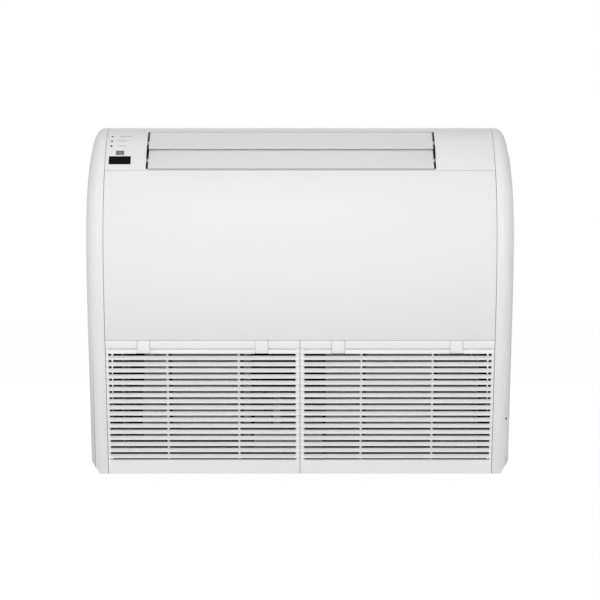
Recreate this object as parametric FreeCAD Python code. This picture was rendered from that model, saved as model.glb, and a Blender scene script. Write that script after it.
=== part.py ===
import FreeCAD, Part
import math
import os

# Floor-ceiling air conditioner, millimetres. The front faces -Y, the wall or ceiling plane is Y = 0,
# +Z is up when the unit stands against a wall, and the origin is the centre of the hanger bolts.

# Cabinet outline
WIDTH = 836.0
DEPTH = 238.0
HEIGHT = 695.0
END_WIDTH = 35.0
UPPER_RADIUS = 260.0
UPPER_SWEEP = math.radians(42.0)
TOP_RADIUS = 130.0
SLOPE_TOP = 336.0
SLOPE = math.radians(16.2)
END_ROUND = 26.0
END_CHAMFER_WIDTH = 18.0
END_CHAMFER_HEIGHT = 26.0

# Walls and joints
SKIN = 2.5
SHEET = 1.2
SEAM = 0.8
PANEL_SEAM = 0.3
REST = 0.3
RIM = 10.0
PIN_PLAY = 0.15
PIN_SIDES = 6
TOUCH = 0.05
OVERRUN = 1.0

# Grille height above the underside, outlet edges below the top and in from the panel's ends
GRILLE_TOP = 268.0
PANEL_SPLIT_DROP = 93.6
OUTLET_LOW_DROP = 90.4
OUTLET_MIDDLE_DROP = 48.0
OUTLET_HIGH_DROP = 11.0
OUTLET_LEFT_INSET = 80.1
OUTLET_RIGHT_INSET = 115.6

# Frame
SIDE_PLATE_INSET = 31.0
BACK_FLANGE_SETBACK = 32.4
BEAD_COUNT = 5
BEAD_SPACING = 116.0
BEAD_WIDTH = 14.0
BEAD_RISE = 3.0
BEAD_FOOT_GAP = 15.0
BEAD_TOP_DROP = 100.0
PIPE_OPENING_INSET = 6.0
PIPE_OPENING_WIDTH = 52.0
PIPE_OPENING_RISE = 5.0
PIPE_OPENING_LENGTH = 78.0

# Hangers
HANGER_INSET = 45.5
HANGER_SPACING_Z = 260.0
HANGER_HOLE_RADIUS = 5.5
HANGER_SHEET = 2.5
HANGER_LENGTH = 330.0
HANGER_WEB = 46.0
HANGER_EDGE = 9.5

# Pipe knock-out cover in the right end cover
KNOCKOUT_LOW = 66.0
KNOCKOUT_HIGH = 112.0
KNOCKOUT_BACK = 58.0
KNOCKOUT_SETBACK = 4.0
KNOCKOUT_ROUND = 9.0

# Display
LAMP_INSET = 10.1
LAMP_RADIUS = 2.0
LAMP_DROPS = (22.5, 32.5, 43.0)
BUTTON_INSET = 28.1
BUTTON_DROP = 57.2
BUTTON_WIDTH = 15.6
BUTTON_LENGTH = 11.0
BUTTON_FLANGE = 2.0
BUTTON_FLANGE_SHEET = 1.4
BUTTON_TRAVEL = 1.2
WINDOW_INSET = 28.4
WINDOW_DROP = 72.6
WINDOW_WIDTH = 43.0
WINDOW_LENGTH = 20.0
BOARD_SHEET = 1.6
BOARD_WIDTH = 48.0
BOARD_LENGTH = 76.0
BOARD_TOP_DROP = 49.0
BOARD_ROOM = 24.0
BOARD_DROP = 11.0
BOARD_POST_RADIUS = 2.5

# Outlet duct, louvers and vanes
DUCT_WALL = 2.5
DUCT_DEPTH = 96.0
DUCT_MARGIN = 1.5
LOUVER_GAP = 2.0
LOUVER_END_GAP = 4.0
LOUVER_SHEET = 2.6
LOUVER_TILT = math.radians(46.0)
LOUVER_OVERLAP = 3.0
LOUVER_PIVOT_INSET = 8.0
LOUVER_EAR = 3.0
LOUVER_EAR_BASE = 15.0
LOUVER_EAR_TIP = 5.0
LOUVER_EAR_REACH = 13.0
LOUVER_RIB_COUNT = 3
LOUVER_PIN_RADIUS = 3.0
BOSS_WALL = 2.5
BOSS_RISE = 2.5
LOUVER_MOTOR_RADIUS = 14.0
LOUVER_MOTOR_LENGTH = 19.0
LOUVER_MOTOR_OFFSET = 8.0
LOUVER_MOTOR_EAR = 19.0
LOUVER_MOTOR_EAR_WIDTH = 9.0
LOUVER_MOTOR_SOCKET = 9.0
VANE_GROUPS = 2
VANES_PER_GROUP = 4
VANE_END_ROOM = 43.25
VANE_FRONT = 47.0
VANE_BACK = 93.0
VANE_SHEET = 1.8
VANE_END_GAP = 3.0
VANE_PIVOT = 57.0
VANE_LINK = 86.0
VANE_PIN_RADIUS = 1.6
VANE_NOTCH = 12.0
VANE_NOTCH_DEPTH = 14.0
LINK_WIDTH = 7.0
LINK_SHEET = 3.0
LINK_TAIL = 6.0

# Coil and drain pan
COIL_LEFT_GAP = 36.0
COIL_RIGHT_GAP = 82.0
COIL_FOOT_SETBACK = 23.5
COIL_FOOT_RISE = 44.0
COIL_TOP_DROP = 168.0
COIL_WALL_GAP = 37.0
COIL_LEAN = math.radians(28.0)
COIL_THICKNESS = 27.0
TUBE_PITCH = 26.0
TUBE_ROW_PITCH = 13.4
TUBE_RADIUS = 3.5
TUBE_SIDES = 6
BEND_STEPS = 3
COIL_PLATE = 1.5
COIL_PLATE_RIM = 3.0
COIL_FOOT_WIDTH = 30.0
PAN_END_GAP = 8.0
PAN_BACK_REACH = 50.0
PAN_BACK_HEIGHT = 34.0
PAN_FRONT_HEIGHT = 74.0
PAN_WALL = 5.0
PAN_FLOOR = 9.0
PAN_REST_COUNT = 3
PAN_REST_INSET = 43.0
PAN_REST_WIDTH = 16.0
PAN_REST_LENGTH = 20.0
DRAIN_INSET = 10.0
DRAIN_RADIUS = 10.0
DRAIN_BORE = 8.0
PIPE_END = 6.0
GAS_RADIUS = 6.35
GAS_INSET = 24.0
LIQUID_RADIUS = 3.175
LIQUID_INSET = 9.0
PIPE_WALL = 0.9
PIPE_BEND = 16.0
PIPE_SIDES = 12
FLARE_NUT_BACK = 34.0
FLARE_NUT_LENGTH = 16.0
FLARE_NUT_WALL = 4.0
NUT_SIDES = 6

# Fan section
DECK_HEIGHT = 252.0
DECK_SETBACK = 4.6
DECK_LIP = 14.0
FAN_HEIGHT = 127.0
FAN_GAP = 7.0
FAN_BLADE_DEPTH = 10.0
FAN_END_GAP = 9.5
FAN_BLADES = 18
DRUM_SIDES = 18
FAN_BLADE_LEAN = math.radians(10.0)
FAN_BLADE_ANGLE = math.radians(1.5)
FAN_RING = 4.0
FAN_DISC = 3.0
FAN_HUB_RADIUS = 12.0
FAN_HUB_LENGTH = 26.0
SHAFT_RADIUS = 5.0
SHAFT_TAIL = 4.0
SHAFT_FIT = 0.05
SCROLL_LEFT_GAP = 38.5
SCROLL_RIGHT_GAP = 86.5
SCROLL_WALL = 2.0
SCROLL_BACK = 5.0
SCROLL_FRONT_GAP = 3.4
SCROLL_TOP_STEP = 3.0
SCROLL_REAR_STEP = 4.0
SCROLL_CUTOFF = math.radians(75.0)
SCROLL_INLET_STEP = 1.0
SCROLL_FLANGE = 7.0
SCROLL_SPLIT = 0.2
MOTOR_STEP = 8.0
MOTOR_LENGTH = 70.0
MOTOR_ROOM = 153.0
MOTOR_NOSE_RADIUS = 13.0
MOTOR_NOSE = 14.0
BRACKET_SHEET = 2.0
BRACKET_WIDTH = 136.0
BRACKET_SETBACK = 17.4
BRACKET_FOOT = 24.0
BRACKET_BACK_FLANGE = 30.0
STRAP_SHEET = 1.2
STRAP_WIDTH = 14.0
STRAP_SPACING = 44.0
STRAP_FOOT = 12.0

# Control box
BOX_WIDTH = 75.0
BOX_SIDE_GAP = 3.0
BOX_SETBACK = 17.0
BOX_LOW = 40.0
BOX_TOP_GAP = 8.0
BOX_WALL = 2.0
BOX_COVER = 1.5
BOX_COVER_LIP = 6.0
PCB_BACK_GAP = 8.0
PCB_MARGIN = 4.0
PCB_SHEET = 1.6
PCB_POST_RADIUS = 3.0
TERMINAL_LOW = 52.0
TERMINAL_HEIGHT = 18.0
TERMINAL_WIDTH = 58.0
TERMINAL_DEPTH = 12.0
TERMINAL_WAYS = 5
TERMINAL_SLOT = 7.0
TERMINAL_SLOT_DEPTH = 6.0

# Inlet grilles, filters and latches
GRILLE_RAIL = 16.4
GRILLE_RAIL_SHEET = 3.0
GRILLE_WEB = 9.0
GRILLE_DEPTH = 14.0
GRILLE_FOOT = 28.6
STILE_OUTER = 5.0
STILE_INNER = 8.0
STILE_SETBACK = 1.6
MULLION_SPACING = 141.0
MULLION_WIDTH = 4.0
MULLION_DEPTH = 11.0
SLAT_PITCH = 12.86
SLAT_TOP_GAP = 27.1
SLAT_LIP = 1.8
SLAT_DEPTH = 8.0
SLAT_RISE = 4.8
SLAT_SHEET = 1.8
HINGE_RISE = 8.0
HINGE_INSET = 9.0
HINGE_PIN_RADIUS = 2.5
HINGE_LUG_RADIUS = 5.0
HINGE_LUG = 4.0
HINGE_LUG_GAP = 3.0
HINGE_LUG_ARM = 15.0
HINGE_POST = 10.0
FILTER_RIM = 7.0
FILTER_SHEET = 3.6
FILTER_RIB_SHIFT = 6.0
FILTER_ROWS = 4
FILTER_MARGIN = 3.0
LATCH_SPACING = 232.4
LATCH_WIDTH = 25.0
LATCH_SLOT_GAP = 0.6
LATCH_SHEET = 2.6
LATCH_LENGTH = 26.3
LATCH_GUIDE_GAP = 2.7
LATCH_GUIDE_LENGTH = 7.0
LATCH_GUIDE_SIDE = 4.0
LATCH_GUIDE_SHEET = 3.0
LATCH_TRAVEL = 4.0

# Values that follow from the sizes above
FRONT_HEIGHT = HEIGHT - UPPER_RADIUS * math.sin(UPPER_SWEEP) - TOP_RADIUS * (1 - math.sin(UPPER_SWEEP))
LOWER_RADIUS = (FRONT_HEIGHT - SLOPE_TOP) / math.sin(SLOPE)
HALF_WIDTH = WIDTH / 2
PANEL_HALF = HALF_WIDTH - END_WIDTH
PANEL_EDGE = PANEL_HALF - SEAM / 2
SIDE_PLATE_X = PANEL_HALF - SIDE_PLATE_INSET
PANEL_SPLIT = HEIGHT - PANEL_SPLIT_DROP
OUTLET_LOW = HEIGHT - OUTLET_LOW_DROP
OUTLET_MIDDLE = HEIGHT - OUTLET_MIDDLE_DROP
OUTLET_HIGH = HEIGHT - OUTLET_HIGH_DROP
OUTLET_LEFT = PANEL_EDGE - OUTLET_LEFT_INSET
OUTLET_RIGHT = PANEL_EDGE - OUTLET_RIGHT_INSET
LAMP_X = PANEL_EDGE - LAMP_INSET
LAMP_HEIGHTS = [HEIGHT - drop for drop in LAMP_DROPS]
BUTTON_X = PANEL_EDGE - BUTTON_INSET
BUTTON_HEIGHT = HEIGHT - BUTTON_DROP
WINDOW_X = PANEL_EDGE - WINDOW_INSET
WINDOW_HEIGHT = HEIGHT - WINDOW_DROP
BOARD_HEIGHT = HEIGHT - BOARD_TOP_DROP
PIPE_OPENING_LOW = DECK_HEIGHT + PIPE_OPENING_RISE
PIPE_OPENING_HIGH = PIPE_OPENING_LOW + PIPE_OPENING_LENGTH
BEAD_LOW = PIPE_OPENING_HIGH + BEAD_FOOT_GAP
BEAD_HIGH = HEIGHT - BEAD_TOP_DROP
COIL_FOOT_HEIGHT = DECK_HEIGHT + COIL_FOOT_RISE
BOX_HIGH = DECK_HEIGHT - BOX_TOP_GAP
PIPE_OPENING_RIGHT = SIDE_PLATE_X - PIPE_OPENING_INSET
PIPE_OPENING_LEFT = PIPE_OPENING_RIGHT - PIPE_OPENING_WIDTH
GAS_X = PIPE_OPENING_RIGHT - GAS_INSET
LIQUID_X = PIPE_OPENING_LEFT + LIQUID_INSET
HANGER_SPACING_X = WIDTH - 2 * HANGER_INSET
COIL_LEFT = SIDE_PLATE_X - COIL_LEFT_GAP
COIL_RIGHT = SIDE_PLATE_X - COIL_RIGHT_GAP
PAN_HALF_LENGTH = SIDE_PLATE_X - PAN_END_GAP
DRAIN_X = PAN_HALF_LENGTH - DRAIN_INSET
BOX_RIGHT = SIDE_PLATE_X - BOX_SIDE_GAP
BOX_LEFT = BOX_RIGHT - BOX_WIDTH
SCROLL_WIDTH = (2 * SIDE_PLATE_X - SCROLL_LEFT_GAP - SCROLL_RIGHT_GAP - MOTOR_ROOM) / 2
SCROLL_LEFT_X = SCROLL_LEFT_GAP + SCROLL_WIDTH / 2 - SIDE_PLATE_X
SCROLL_RIGHT_X = SIDE_PLATE_X - SCROLL_RIGHT_GAP - SCROLL_WIDTH / 2
MOTOR_X = (SCROLL_LEFT_X + SCROLL_RIGHT_X) / 2
FAN_LENGTH = SCROLL_WIDTH - 2 * FAN_END_GAP
GRILLE_LENGTH = (GRILLE_TOP - SEAM / 2) / math.cos(SLOPE)
SLAT_FIRST = GRILLE_LENGTH - SLAT_TOP_GAP
SLAT_COUNT = int((SLAT_FIRST - GRILLE_FOOT) / SLAT_PITCH) + 1
LATCH_LOW = GRILLE_LENGTH - LATCH_LENGTH
LATCH_GUIDE_HIGH = GRILLE_LENGTH - LATCH_GUIDE_GAP
LATCH_GUIDE_LOW = LATCH_GUIDE_HIGH - LATCH_GUIDE_LENGTH
FILTER_BACK = GRILLE_DEPTH + REST + FILTER_SHEET
CHAMBER_FRONT = FILTER_BACK + 2 * SKIN
X_AXIS = FreeCAD.Vector(1, 0, 0)


def place(x, depth, height):
    return FreeCAD.Vector(x, -depth, height - HEIGHT / 2)


def toward(depth, height):
    return FreeCAD.Vector(0, -depth, height)


def polar(centre, radius, angle):
    return (centre[0] + radius * math.cos(angle), centre[1] + radius * math.sin(angle))


LOWER_CENTRE = (DEPTH - LOWER_RADIUS, FRONT_HEIGHT)
UPPER_CENTRE = (DEPTH - UPPER_RADIUS, FRONT_HEIGHT)
TOP_CENTRE = polar(UPPER_CENTRE, UPPER_RADIUS - TOP_RADIUS, UPPER_SWEEP)
SLOPE_START = polar(LOWER_CENTRE, LOWER_RADIUS, -SLOPE)
FOOT_DEPTH = SLOPE_START[0] - SLOPE_START[1] * math.tan(SLOPE)


def slope_at(rise, out):
    """Depth and height of a point rise up the grille slope and out from its outer face."""
    depth = FOOT_DEPTH + rise * math.sin(SLOPE) + out * math.cos(SLOPE)
    return (depth, rise * math.cos(SLOPE) - out * math.sin(SLOPE))


def skin_depth(height):
    """Depth of the outer face at a height."""
    if height < SLOPE_START[1]:
        return FOOT_DEPTH + height * math.tan(SLOPE)
    if height < FRONT_HEIGHT:
        return LOWER_CENTRE[0] + math.sqrt(LOWER_RADIUS**2 - (height - FRONT_HEIGHT) ** 2)
    if height < polar(UPPER_CENTRE, UPPER_RADIUS, UPPER_SWEEP)[1]:
        return UPPER_CENTRE[0] + math.sqrt(UPPER_RADIUS**2 - (height - FRONT_HEIGHT) ** 2)
    return TOP_CENTRE[0] + math.sqrt(TOP_RADIUS**2 - (height - TOP_CENTRE[1]) ** 2)


def chamber_depth(height):
    """Depth of the room behind the grille and filter at a height of the slope."""
    return FOOT_DEPTH + height * math.tan(SLOPE) - CHAMBER_FRONT / math.cos(SLOPE)


COIL_FOOT_DEPTH = chamber_depth(COIL_FOOT_HEIGHT) - COIL_FOOT_SETBACK
PAN_BACK = COIL_FOOT_DEPTH - PAN_BACK_REACH
DECK_FRONT = chamber_depth(DECK_HEIGHT) - DECK_SETBACK
BRACKET_FRONT = chamber_depth(0) - BRACKET_SETBACK
BOX_FRONT = chamber_depth(BOX_LOW) - BOX_SETBACK
scroll_depth = chamber_depth(FAN_HEIGHT) - SCROLL_FRONT_GAP - SCROLL_WALL - SCROLL_BACK
SCROLL_FRONT_RADIUS = (scroll_depth - SCROLL_REAR_STEP) / 2
SCROLL_REAR_RADIUS = SCROLL_FRONT_RADIUS + SCROLL_REAR_STEP
SCROLL_TOP_RADIUS = SCROLL_FRONT_RADIUS - SCROLL_TOP_STEP
FAN_DEPTH = SCROLL_BACK + scroll_depth - SCROLL_TOP_RADIUS
FAN_RADIUS = SCROLL_TOP_RADIUS - FAN_GAP
FAN_INNER_RADIUS = FAN_RADIUS - FAN_BLADE_DEPTH
SCROLL_INLET_RADIUS = FAN_INNER_RADIUS + SCROLL_INLET_STEP
MOTOR_RADIUS = FAN_RADIUS - MOTOR_STEP
BACK_FLANGE = TOP_CENTRE[0] - BACK_FLANGE_SETBACK
coil_room = min(
    (HEIGHT - COIL_TOP_DROP - COIL_FOOT_HEIGHT) / math.cos(COIL_LEAN),
    (COIL_FOOT_DEPTH - COIL_WALL_GAP) / math.sin(COIL_LEAN),
)
TUBES_PER_ROW = 2 * int(coil_room / TUBE_PITCH / 2)


def skin_normal(height):
    """Depth and height parts of the outward normal of the upper outer face at a height."""
    centre = TOP_CENTRE
    if height < polar(UPPER_CENTRE, UPPER_RADIUS, UPPER_SWEEP)[1]:
        centre = UPPER_CENTRE
    angle = math.atan2(height - centre[1], skin_depth(height) - centre[0])
    return (math.cos(angle), math.sin(angle))


def line(start, end):
    return Part.LineSegment(place(0, *start), place(0, *end)).toShape()


def arc(centre, radius, first, last):
    points = [place(0, *polar(centre, radius, angle)) for angle in (first, (first + last) / 2, last)]
    return Part.Arc(*points).toShape()


def span(edges, x0, x1):
    """Solid between two X planes from a closed outline in depth and height."""
    face = Part.Face(Part.Wire(edges))
    face.translate(X_AXIS * x0)
    return face.extrude(X_AXIS * (x1 - x0))


def prism(points, x0, x1):
    """Solid between two X planes from the corners of an outline in depth and height."""
    corners = [place(x0, *point) for point in points]
    return Part.Face(Part.makePolygon(corners + corners[:1])).extrude(X_AXIS * (x1 - x0))


def block(x0, x1, depth0, depth1, height0, height1):
    return Part.makeBox(x1 - x0, depth1 - depth0, height1 - height0, place(x0, depth1, height0))


def ring(centre, direction, radius, sides):
    """Closed outline of equal sides, square to a direction, with its corners on the radius."""
    spin = FreeCAD.Rotation(FreeCAD.Vector(0, 0, 1), direction)
    corners = []
    for index in range(sides):
        angle = (index + 1 / 2) * 2 * math.pi / sides
        corner = FreeCAD.Vector(radius * math.cos(angle), radius * math.sin(angle), 0)
        corners.append(centre + spin.multVec(corner))
    return Part.makePolygon(corners + corners[:1])


def bar(first, last, radius, sides=0):
    """Round bar between two points, or one with flat sides."""
    run = last - first
    if not sides:
        return Part.makeCylinder(radius, run.Length, first, run)
    return Part.Face(ring(first, run, radius, sides)).extrude(run)


def rod(x0, x1, centre, radius, sides=0):
    return bar(place(x0, *centre), place(x1, *centre), radius, sides)


def stick(x, start, end, radius, sides=0):
    return bar(place(x, *start), place(x, *end), radius, sides)


def clear_radius(radius):
    """Corner radius of a flat-sided hole that a pin turns in."""
    return (radius + PIN_PLAY) / math.cos(math.pi / PIN_SIDES)


def slope_block(x0, x1, rise0, rise1, out0, out1):
    corners = [(rise0, out0), (rise1, out0), (rise1, out1), (rise0, out1)]
    return prism([slope_at(*corner) for corner in corners], x0, x1)


def mirrored(shape):
    return shape.mirror(FreeCAD.Vector(0, 0, 0), X_AXIS)


def join(shapes):
    return shapes[0].multiFuse(shapes[1:]).removeSplitter()


def cabinet(inset, x0, x1, bottom=0.0, back=0.0):
    """The cabinet's side outline, set in from the outer face, as a solid between two X planes."""
    lower, upper, top = LOWER_RADIUS - inset, UPPER_RADIUS - inset, TOP_RADIUS - inset
    start = polar(LOWER_CENTRE, lower, -SLOPE)
    foot = (start[0] - (start[1] - bottom) * math.tan(SLOPE), bottom)
    crown = polar(TOP_CENTRE, top, math.pi / 2)
    edges = [
        line((back, bottom), foot),
        line(foot, start),
        arc(LOWER_CENTRE, lower, -SLOPE, 0),
        arc(UPPER_CENTRE, upper, 0, UPPER_SWEEP),
        arc(TOP_CENTRE, top, UPPER_SWEEP, math.pi / 2),
        line(crown, (back, crown[1])),
        line((back, crown[1]), (back, bottom)),
    ]
    return span(edges, x0, x1)


parts = {}

# Back plate: pressed steel sheet with stiffening beads, a top flange and the pipe opening
plate_half = PANEL_EDGE - SKIN - REST
inner_half = SIDE_PLATE_X - REST
plate_low = SHEET + REST
plate_high = HEIGHT - SKIN - REST
wall_start = SHEET + REST
hanger_low = HEIGHT / 2 - HANGER_LENGTH / 2
hanger_high = HEIGHT / 2 + HANGER_LENGTH / 2
plate = [
    block(-plate_half, plate_half, 0, SHEET, plate_low, plate_high),
    block(-inner_half, inner_half, 0, BACK_FLANGE, plate_high - SHEET, plate_high),
]
beads = []
for index in range(BEAD_COUNT):
    middle = (index - (BEAD_COUNT - 1) / 2) * BEAD_SPACING
    edge = BEAD_WIDTH / 2
    plate.append(block(middle - edge, middle + edge, 0, BEAD_RISE, BEAD_LOW, BEAD_HIGH))
    hollow = edge - SHEET
    ends = (BEAD_LOW + SHEET, BEAD_HIGH - SHEET)
    beads.append(block(middle - hollow, middle + hollow, -OVERRUN, BEAD_RISE - SHEET, ends[0], ends[1]))
opening = block(PIPE_OPENING_LEFT, PIPE_OPENING_RIGHT, -OVERRUN, DEPTH, PIPE_OPENING_LOW, PIPE_OPENING_HIGH)
hanger_room = block(
    SIDE_PLATE_X + SHEET - REST, WIDTH, -OVERRUN, DEPTH, hanger_low - REST, hanger_high + REST
)
parts["back_plate"] = join(plate).cut(beads + [opening, hanger_room, mirrored(hanger_room)])

# Side plates: steel sheet inside the end covers, cut back behind the hinged grilles
side = cabinet(SKIN + REST, SIDE_PLATE_X, SIDE_PLATE_X + SHEET, plate_low, wall_start)
lip_room = SEAM + SKIN + REST
grille_room = slope_block(0, HALF_WIDTH, -DEPTH, GRILLE_LENGTH + lip_room, -CHAMBER_FRONT, DEPTH)
split_room = block(0, HALF_WIDTH, 0, DEPTH, PANEL_SPLIT - lip_room, PANEL_SPLIT + lip_room)
split_room = split_room.cut(cabinet(RIM + REST, 0, HALF_WIDTH))
side = side.cut([grille_room, split_room])
parts["right_side_plate"] = side

# Base plate: steel sheet with the posts and lugs that carry the grille hinges
hinge = slope_at(HINGE_RISE, -HINGE_INSET)
post_front = hinge[0] - HINGE_LUG_ARM
lug_outline = [
    (post_front - HINGE_POST, 0),
    (post_front, 0),
    (post_front, hinge[1] - HINGE_LUG_RADIUS),
    (hinge[0], hinge[1] - HINGE_LUG_RADIUS),
    (hinge[0], hinge[1] + HINGE_LUG_RADIUS),
    (post_front - HINGE_POST, hinge[1] + HINGE_LUG_RADIUS),
]
lug_starts = [
    SEAM / 2 + STILE_INNER + HINGE_LUG_GAP,
    PANEL_HALF - SEAM / 2 - STILE_OUTER - HINGE_LUG_GAP - HINGE_LUG,
]
base = [block(-PANEL_HALF + SEAM, PANEL_HALF - SEAM, 0, post_front, 0, SHEET)]
for start in lug_starts:
    lug = prism(lug_outline, start, start + HINGE_LUG)
    lug = lug.fuse(rod(start, start + HINGE_LUG, hinge, HINGE_LUG_RADIUS, PIN_SIDES))
    base += [lug, mirrored(lug)]
base = join(base).cut(rod(-HALF_WIDTH, HALF_WIDTH, hinge, clear_radius(HINGE_PIN_RADIUS), PIN_SIDES))
parts["base_plate"] = base

# Hangers: bent brackets on the side plates, with the four bolt holes in the wall plane
web_start = SIDE_PLATE_X + SHEET
flange_end = HANGER_SPACING_X / 2 + HANGER_EDGE
hanger = join(
    [
        block(web_start, web_start + HANGER_SHEET, 0, HANGER_WEB, hanger_low, hanger_high),
        block(web_start, flange_end, 0, HANGER_SHEET, hanger_low, hanger_high),
    ]
)
bolt_holes = []
for step in (-1, 1):
    height = HEIGHT / 2 + step * HANGER_SPACING_Z / 2
    ends = ((HANGER_SHEET + OVERRUN, height), (-OVERRUN, height))
    bolt_holes.append(stick(HANGER_SPACING_X / 2, ends[0], ends[1], HANGER_HOLE_RADIUS))
hanger = hanger.cut(bolt_holes)
parts["right_hanger"] = hanger
parts["left_hanger"] = mirrored(hanger)

# End covers: moulded shells with a rounded outer edge, open to the wall and to the cabinet
cover_start = PANEL_HALF + SEAM / 2


def rounded_cabinet(inset, bottom, back):
    """Cabinet outline over an end cover and the edges that its rounding runs along."""
    outer_x = HALF_WIDTH - inset
    solid = cabinet(inset, cover_start - inset, outer_x, bottom, back)
    chosen = []
    for edge in solid.Edges:
        box = edge.BoundBox
        on_side = box.XMin > outer_x - TOUCH
        at_back = box.YMin > -back - TOUCH
        at_bottom = box.ZMax < place(0, 0, bottom).z + TOUCH
        if on_side and not at_back and not at_bottom:
            chosen.append(edge)
    return solid, chosen


def corner_wedge(inset):
    """Solid outside the chamfer on the lower outer corner of an end cover."""
    low_point = place(HALF_WIDTH - END_CHAMFER_WIDTH - inset, -OVERRUN, 0)
    side_point = place(HALF_WIDTH - inset, -OVERRUN, END_CHAMFER_HEIGHT)
    slant = side_point - low_point
    ends = [low_point - slant, side_point + slant]
    corners = ends + [end + X_AXIS * WIDTH for end in reversed(ends)]
    return Part.Face(Part.makePolygon(corners + corners[:1])).extrude(toward(DEPTH + 2 * OVERRUN, 0))


solid, edges = rounded_cabinet(0, 0, 0)
outer = solid.makeFillet(END_ROUND, edges).cut(corner_wedge(0))
solid, edges = rounded_cabinet(SKIN, SKIN, -OVERRUN)
inner = solid.makeChamfer(END_ROUND - 3 * SKIN, edges).cut(corner_wedge(SKIN))
end_cover = outer.cut(inner)
parts["left_end_cover"] = mirrored(end_cover)

# Pipe knock-out cover: plug in the side of the right end cover, with a lip behind the wall
def knockout_outline(grow):
    """Rounded outline in depth and height, following the slope of the front at one end."""
    low, high = KNOCKOUT_LOW - grow, KNOCKOUT_HIGH + grow
    front = KNOCKOUT_SETBACK - grow
    corners = [
        (KNOCKOUT_BACK - grow, low),
        (skin_depth(low) - front, low),
        (skin_depth(high) - front, high),
        (KNOCKOUT_BACK - grow, high),
    ]
    plug = prism(corners, HALF_WIDTH - END_WIDTH / 2, HALF_WIDTH + OVERRUN)
    edges = [edge for edge in plug.Edges if edge.BoundBox.XLength > END_WIDTH / 2]
    return plug.makeFillet(KNOCKOUT_ROUND + grow, edges)


parts["right_end_cover"] = end_cover.cut(knockout_outline(0))
plug = knockout_outline(-REST).common(end_cover)
shifted = inner.copy()
shifted.translate(X_AXIS * (-SKIN))
lip = knockout_outline(-REST).common(inner.cut(shifted))
parts["pipe_knockout_cover"] = plug.fuse(lip).removeSplitter()

# Top panel: moulded cover from the panel split over the outlet to the wall
full = cabinet(0, -PANEL_EDGE, PANEL_EDGE)
hollow = cabinet(SKIN, -WIDTH, WIDTH, -OVERRUN, -OVERRUN)
rim_hollow = cabinet(RIM, -WIDTH, WIDTH, -OVERRUN, -OVERRUN)
skin = full.cut(hollow)
rims = full.cut(rim_hollow)
rim_gap = PANEL_EDGE - SKIN
end_rims = rims.cut(block(-rim_gap, rim_gap, -OVERRUN, DEPTH + OVERRUN, -OVERRUN, HEIGHT + OVERRUN))
upper_room = block(-WIDTH, WIDTH, 0, DEPTH + OVERRUN, PANEL_SPLIT + PANEL_SEAM / 2, HEIGHT + OVERRUN)
outlet_low = (skin_depth(OUTLET_LOW), OUTLET_LOW)
outlet_high = (skin_depth(OUTLET_HIGH), OUTLET_HIGH)
outlet_span = math.hypot(outlet_high[0] - outlet_low[0], outlet_high[1] - outlet_low[1])
ACROSS = ((outlet_high[0] - outlet_low[0]) / outlet_span, (outlet_high[1] - outlet_low[1]) / outlet_span)
OUTWARD = (ACROSS[1], -ACROSS[0])
OUTLET_CENTRE = ((outlet_low[0] + outlet_high[0]) / 2, (outlet_low[1] + outlet_high[1]) / 2)


def duct_at(out, across):
    """Depth and height of a point out along the air flow and across the outlet, from its centre."""
    depth = OUTLET_CENTRE[0] + out * OUTWARD[0] + across * ACROSS[0]
    return (depth, OUTLET_CENTRE[1] + out * OUTWARD[1] + across * ACROSS[1])


def duct_block(x0, x1, out0, out1, across0, across1):
    corners = [(out0, across0), (out1, across0), (out1, across1), (out0, across1)]
    return prism([duct_at(*corner) for corner in corners], x0, x1)


outlet_half = outlet_span / 2
outlet_cut = duct_block(-OUTLET_LEFT, OUTLET_RIGHT, -DUCT_DEPTH, DUCT_DEPTH, -outlet_half, outlet_half)


def skin_frame(height):
    """Outer point, outward direction and direction up the face, at a height of the upper face."""
    normal = skin_normal(height)
    return (skin_depth(height), height), normal, (-normal[1], normal[0])


def skin_block(x0, x1, height, half, out0, out1):
    """Block on the outer face at a height: half its length each way up the face, between two depths."""
    point, normal, up = skin_frame(height)
    corners = []
    for out, along in ((out0, -half), (out1, -half), (out1, half), (out0, half)):
        corners.append(tuple(p + out * n + along * u for p, n, u in zip(point, normal, up)))
    return prism(corners, x0, x1)


def skin_stick(x, height, out0, out1, radius):
    """Small peg along the outward normal of the upper face."""
    point, normal, up = skin_frame(height)
    ends = [(point[0] + out * normal[0], point[1] + out * normal[1]) for out in (out0, out1)]
    return stick(x, ends[0], ends[1], radius, PIN_SIDES)


board_posts = []
for step in (-1, 1):
    post_x = -WINDOW_X + step * (BOARD_WIDTH / 2 - BOARD_POST_RADIUS * 2)
    board_posts.append(skin_stick(post_x, BOARD_HEIGHT, -BOARD_DROP, -SKIN / 2, BOARD_POST_RADIUS))
lamp_holes = []
for height in LAMP_HEIGHTS:
    lamp_holes.append(skin_stick(-LAMP_X, height, -SKIN * 2, SKIN, clear_radius(LAMP_RADIUS)))
button_half = BUTTON_WIDTH / 2
window_half = WINDOW_WIDTH / 2
button_hole = skin_block(
    -BUTTON_X - button_half - REST,
    -BUTTON_X + button_half + REST,
    BUTTON_HEIGHT,
    BUTTON_LENGTH / 2 + REST,
    -SKIN * 2,
    SKIN,
)
window_recess = skin_block(
    -WINDOW_X - window_half, -WINDOW_X + window_half, WINDOW_HEIGHT, WINDOW_LENGTH / 2, -SKIN * 2, SKIN
)
display_room = skin_block(-WIDTH, 0, BOARD_HEIGHT, BOARD_LENGTH / 2 + SKIN, -BOARD_ROOM, DEPTH)
parts["left_side_plate"] = mirrored(side).cut(display_room)
top_panel = skin.fuse(end_rims).common(upper_room)
split_lip = full.cut(rim_hollow).common(
    block(-WIDTH, WIDTH, 0, DEPTH, PANEL_SPLIT + PANEL_SEAM / 2, PANEL_SPLIT + PANEL_SEAM / 2 + SKIN)
)
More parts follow.
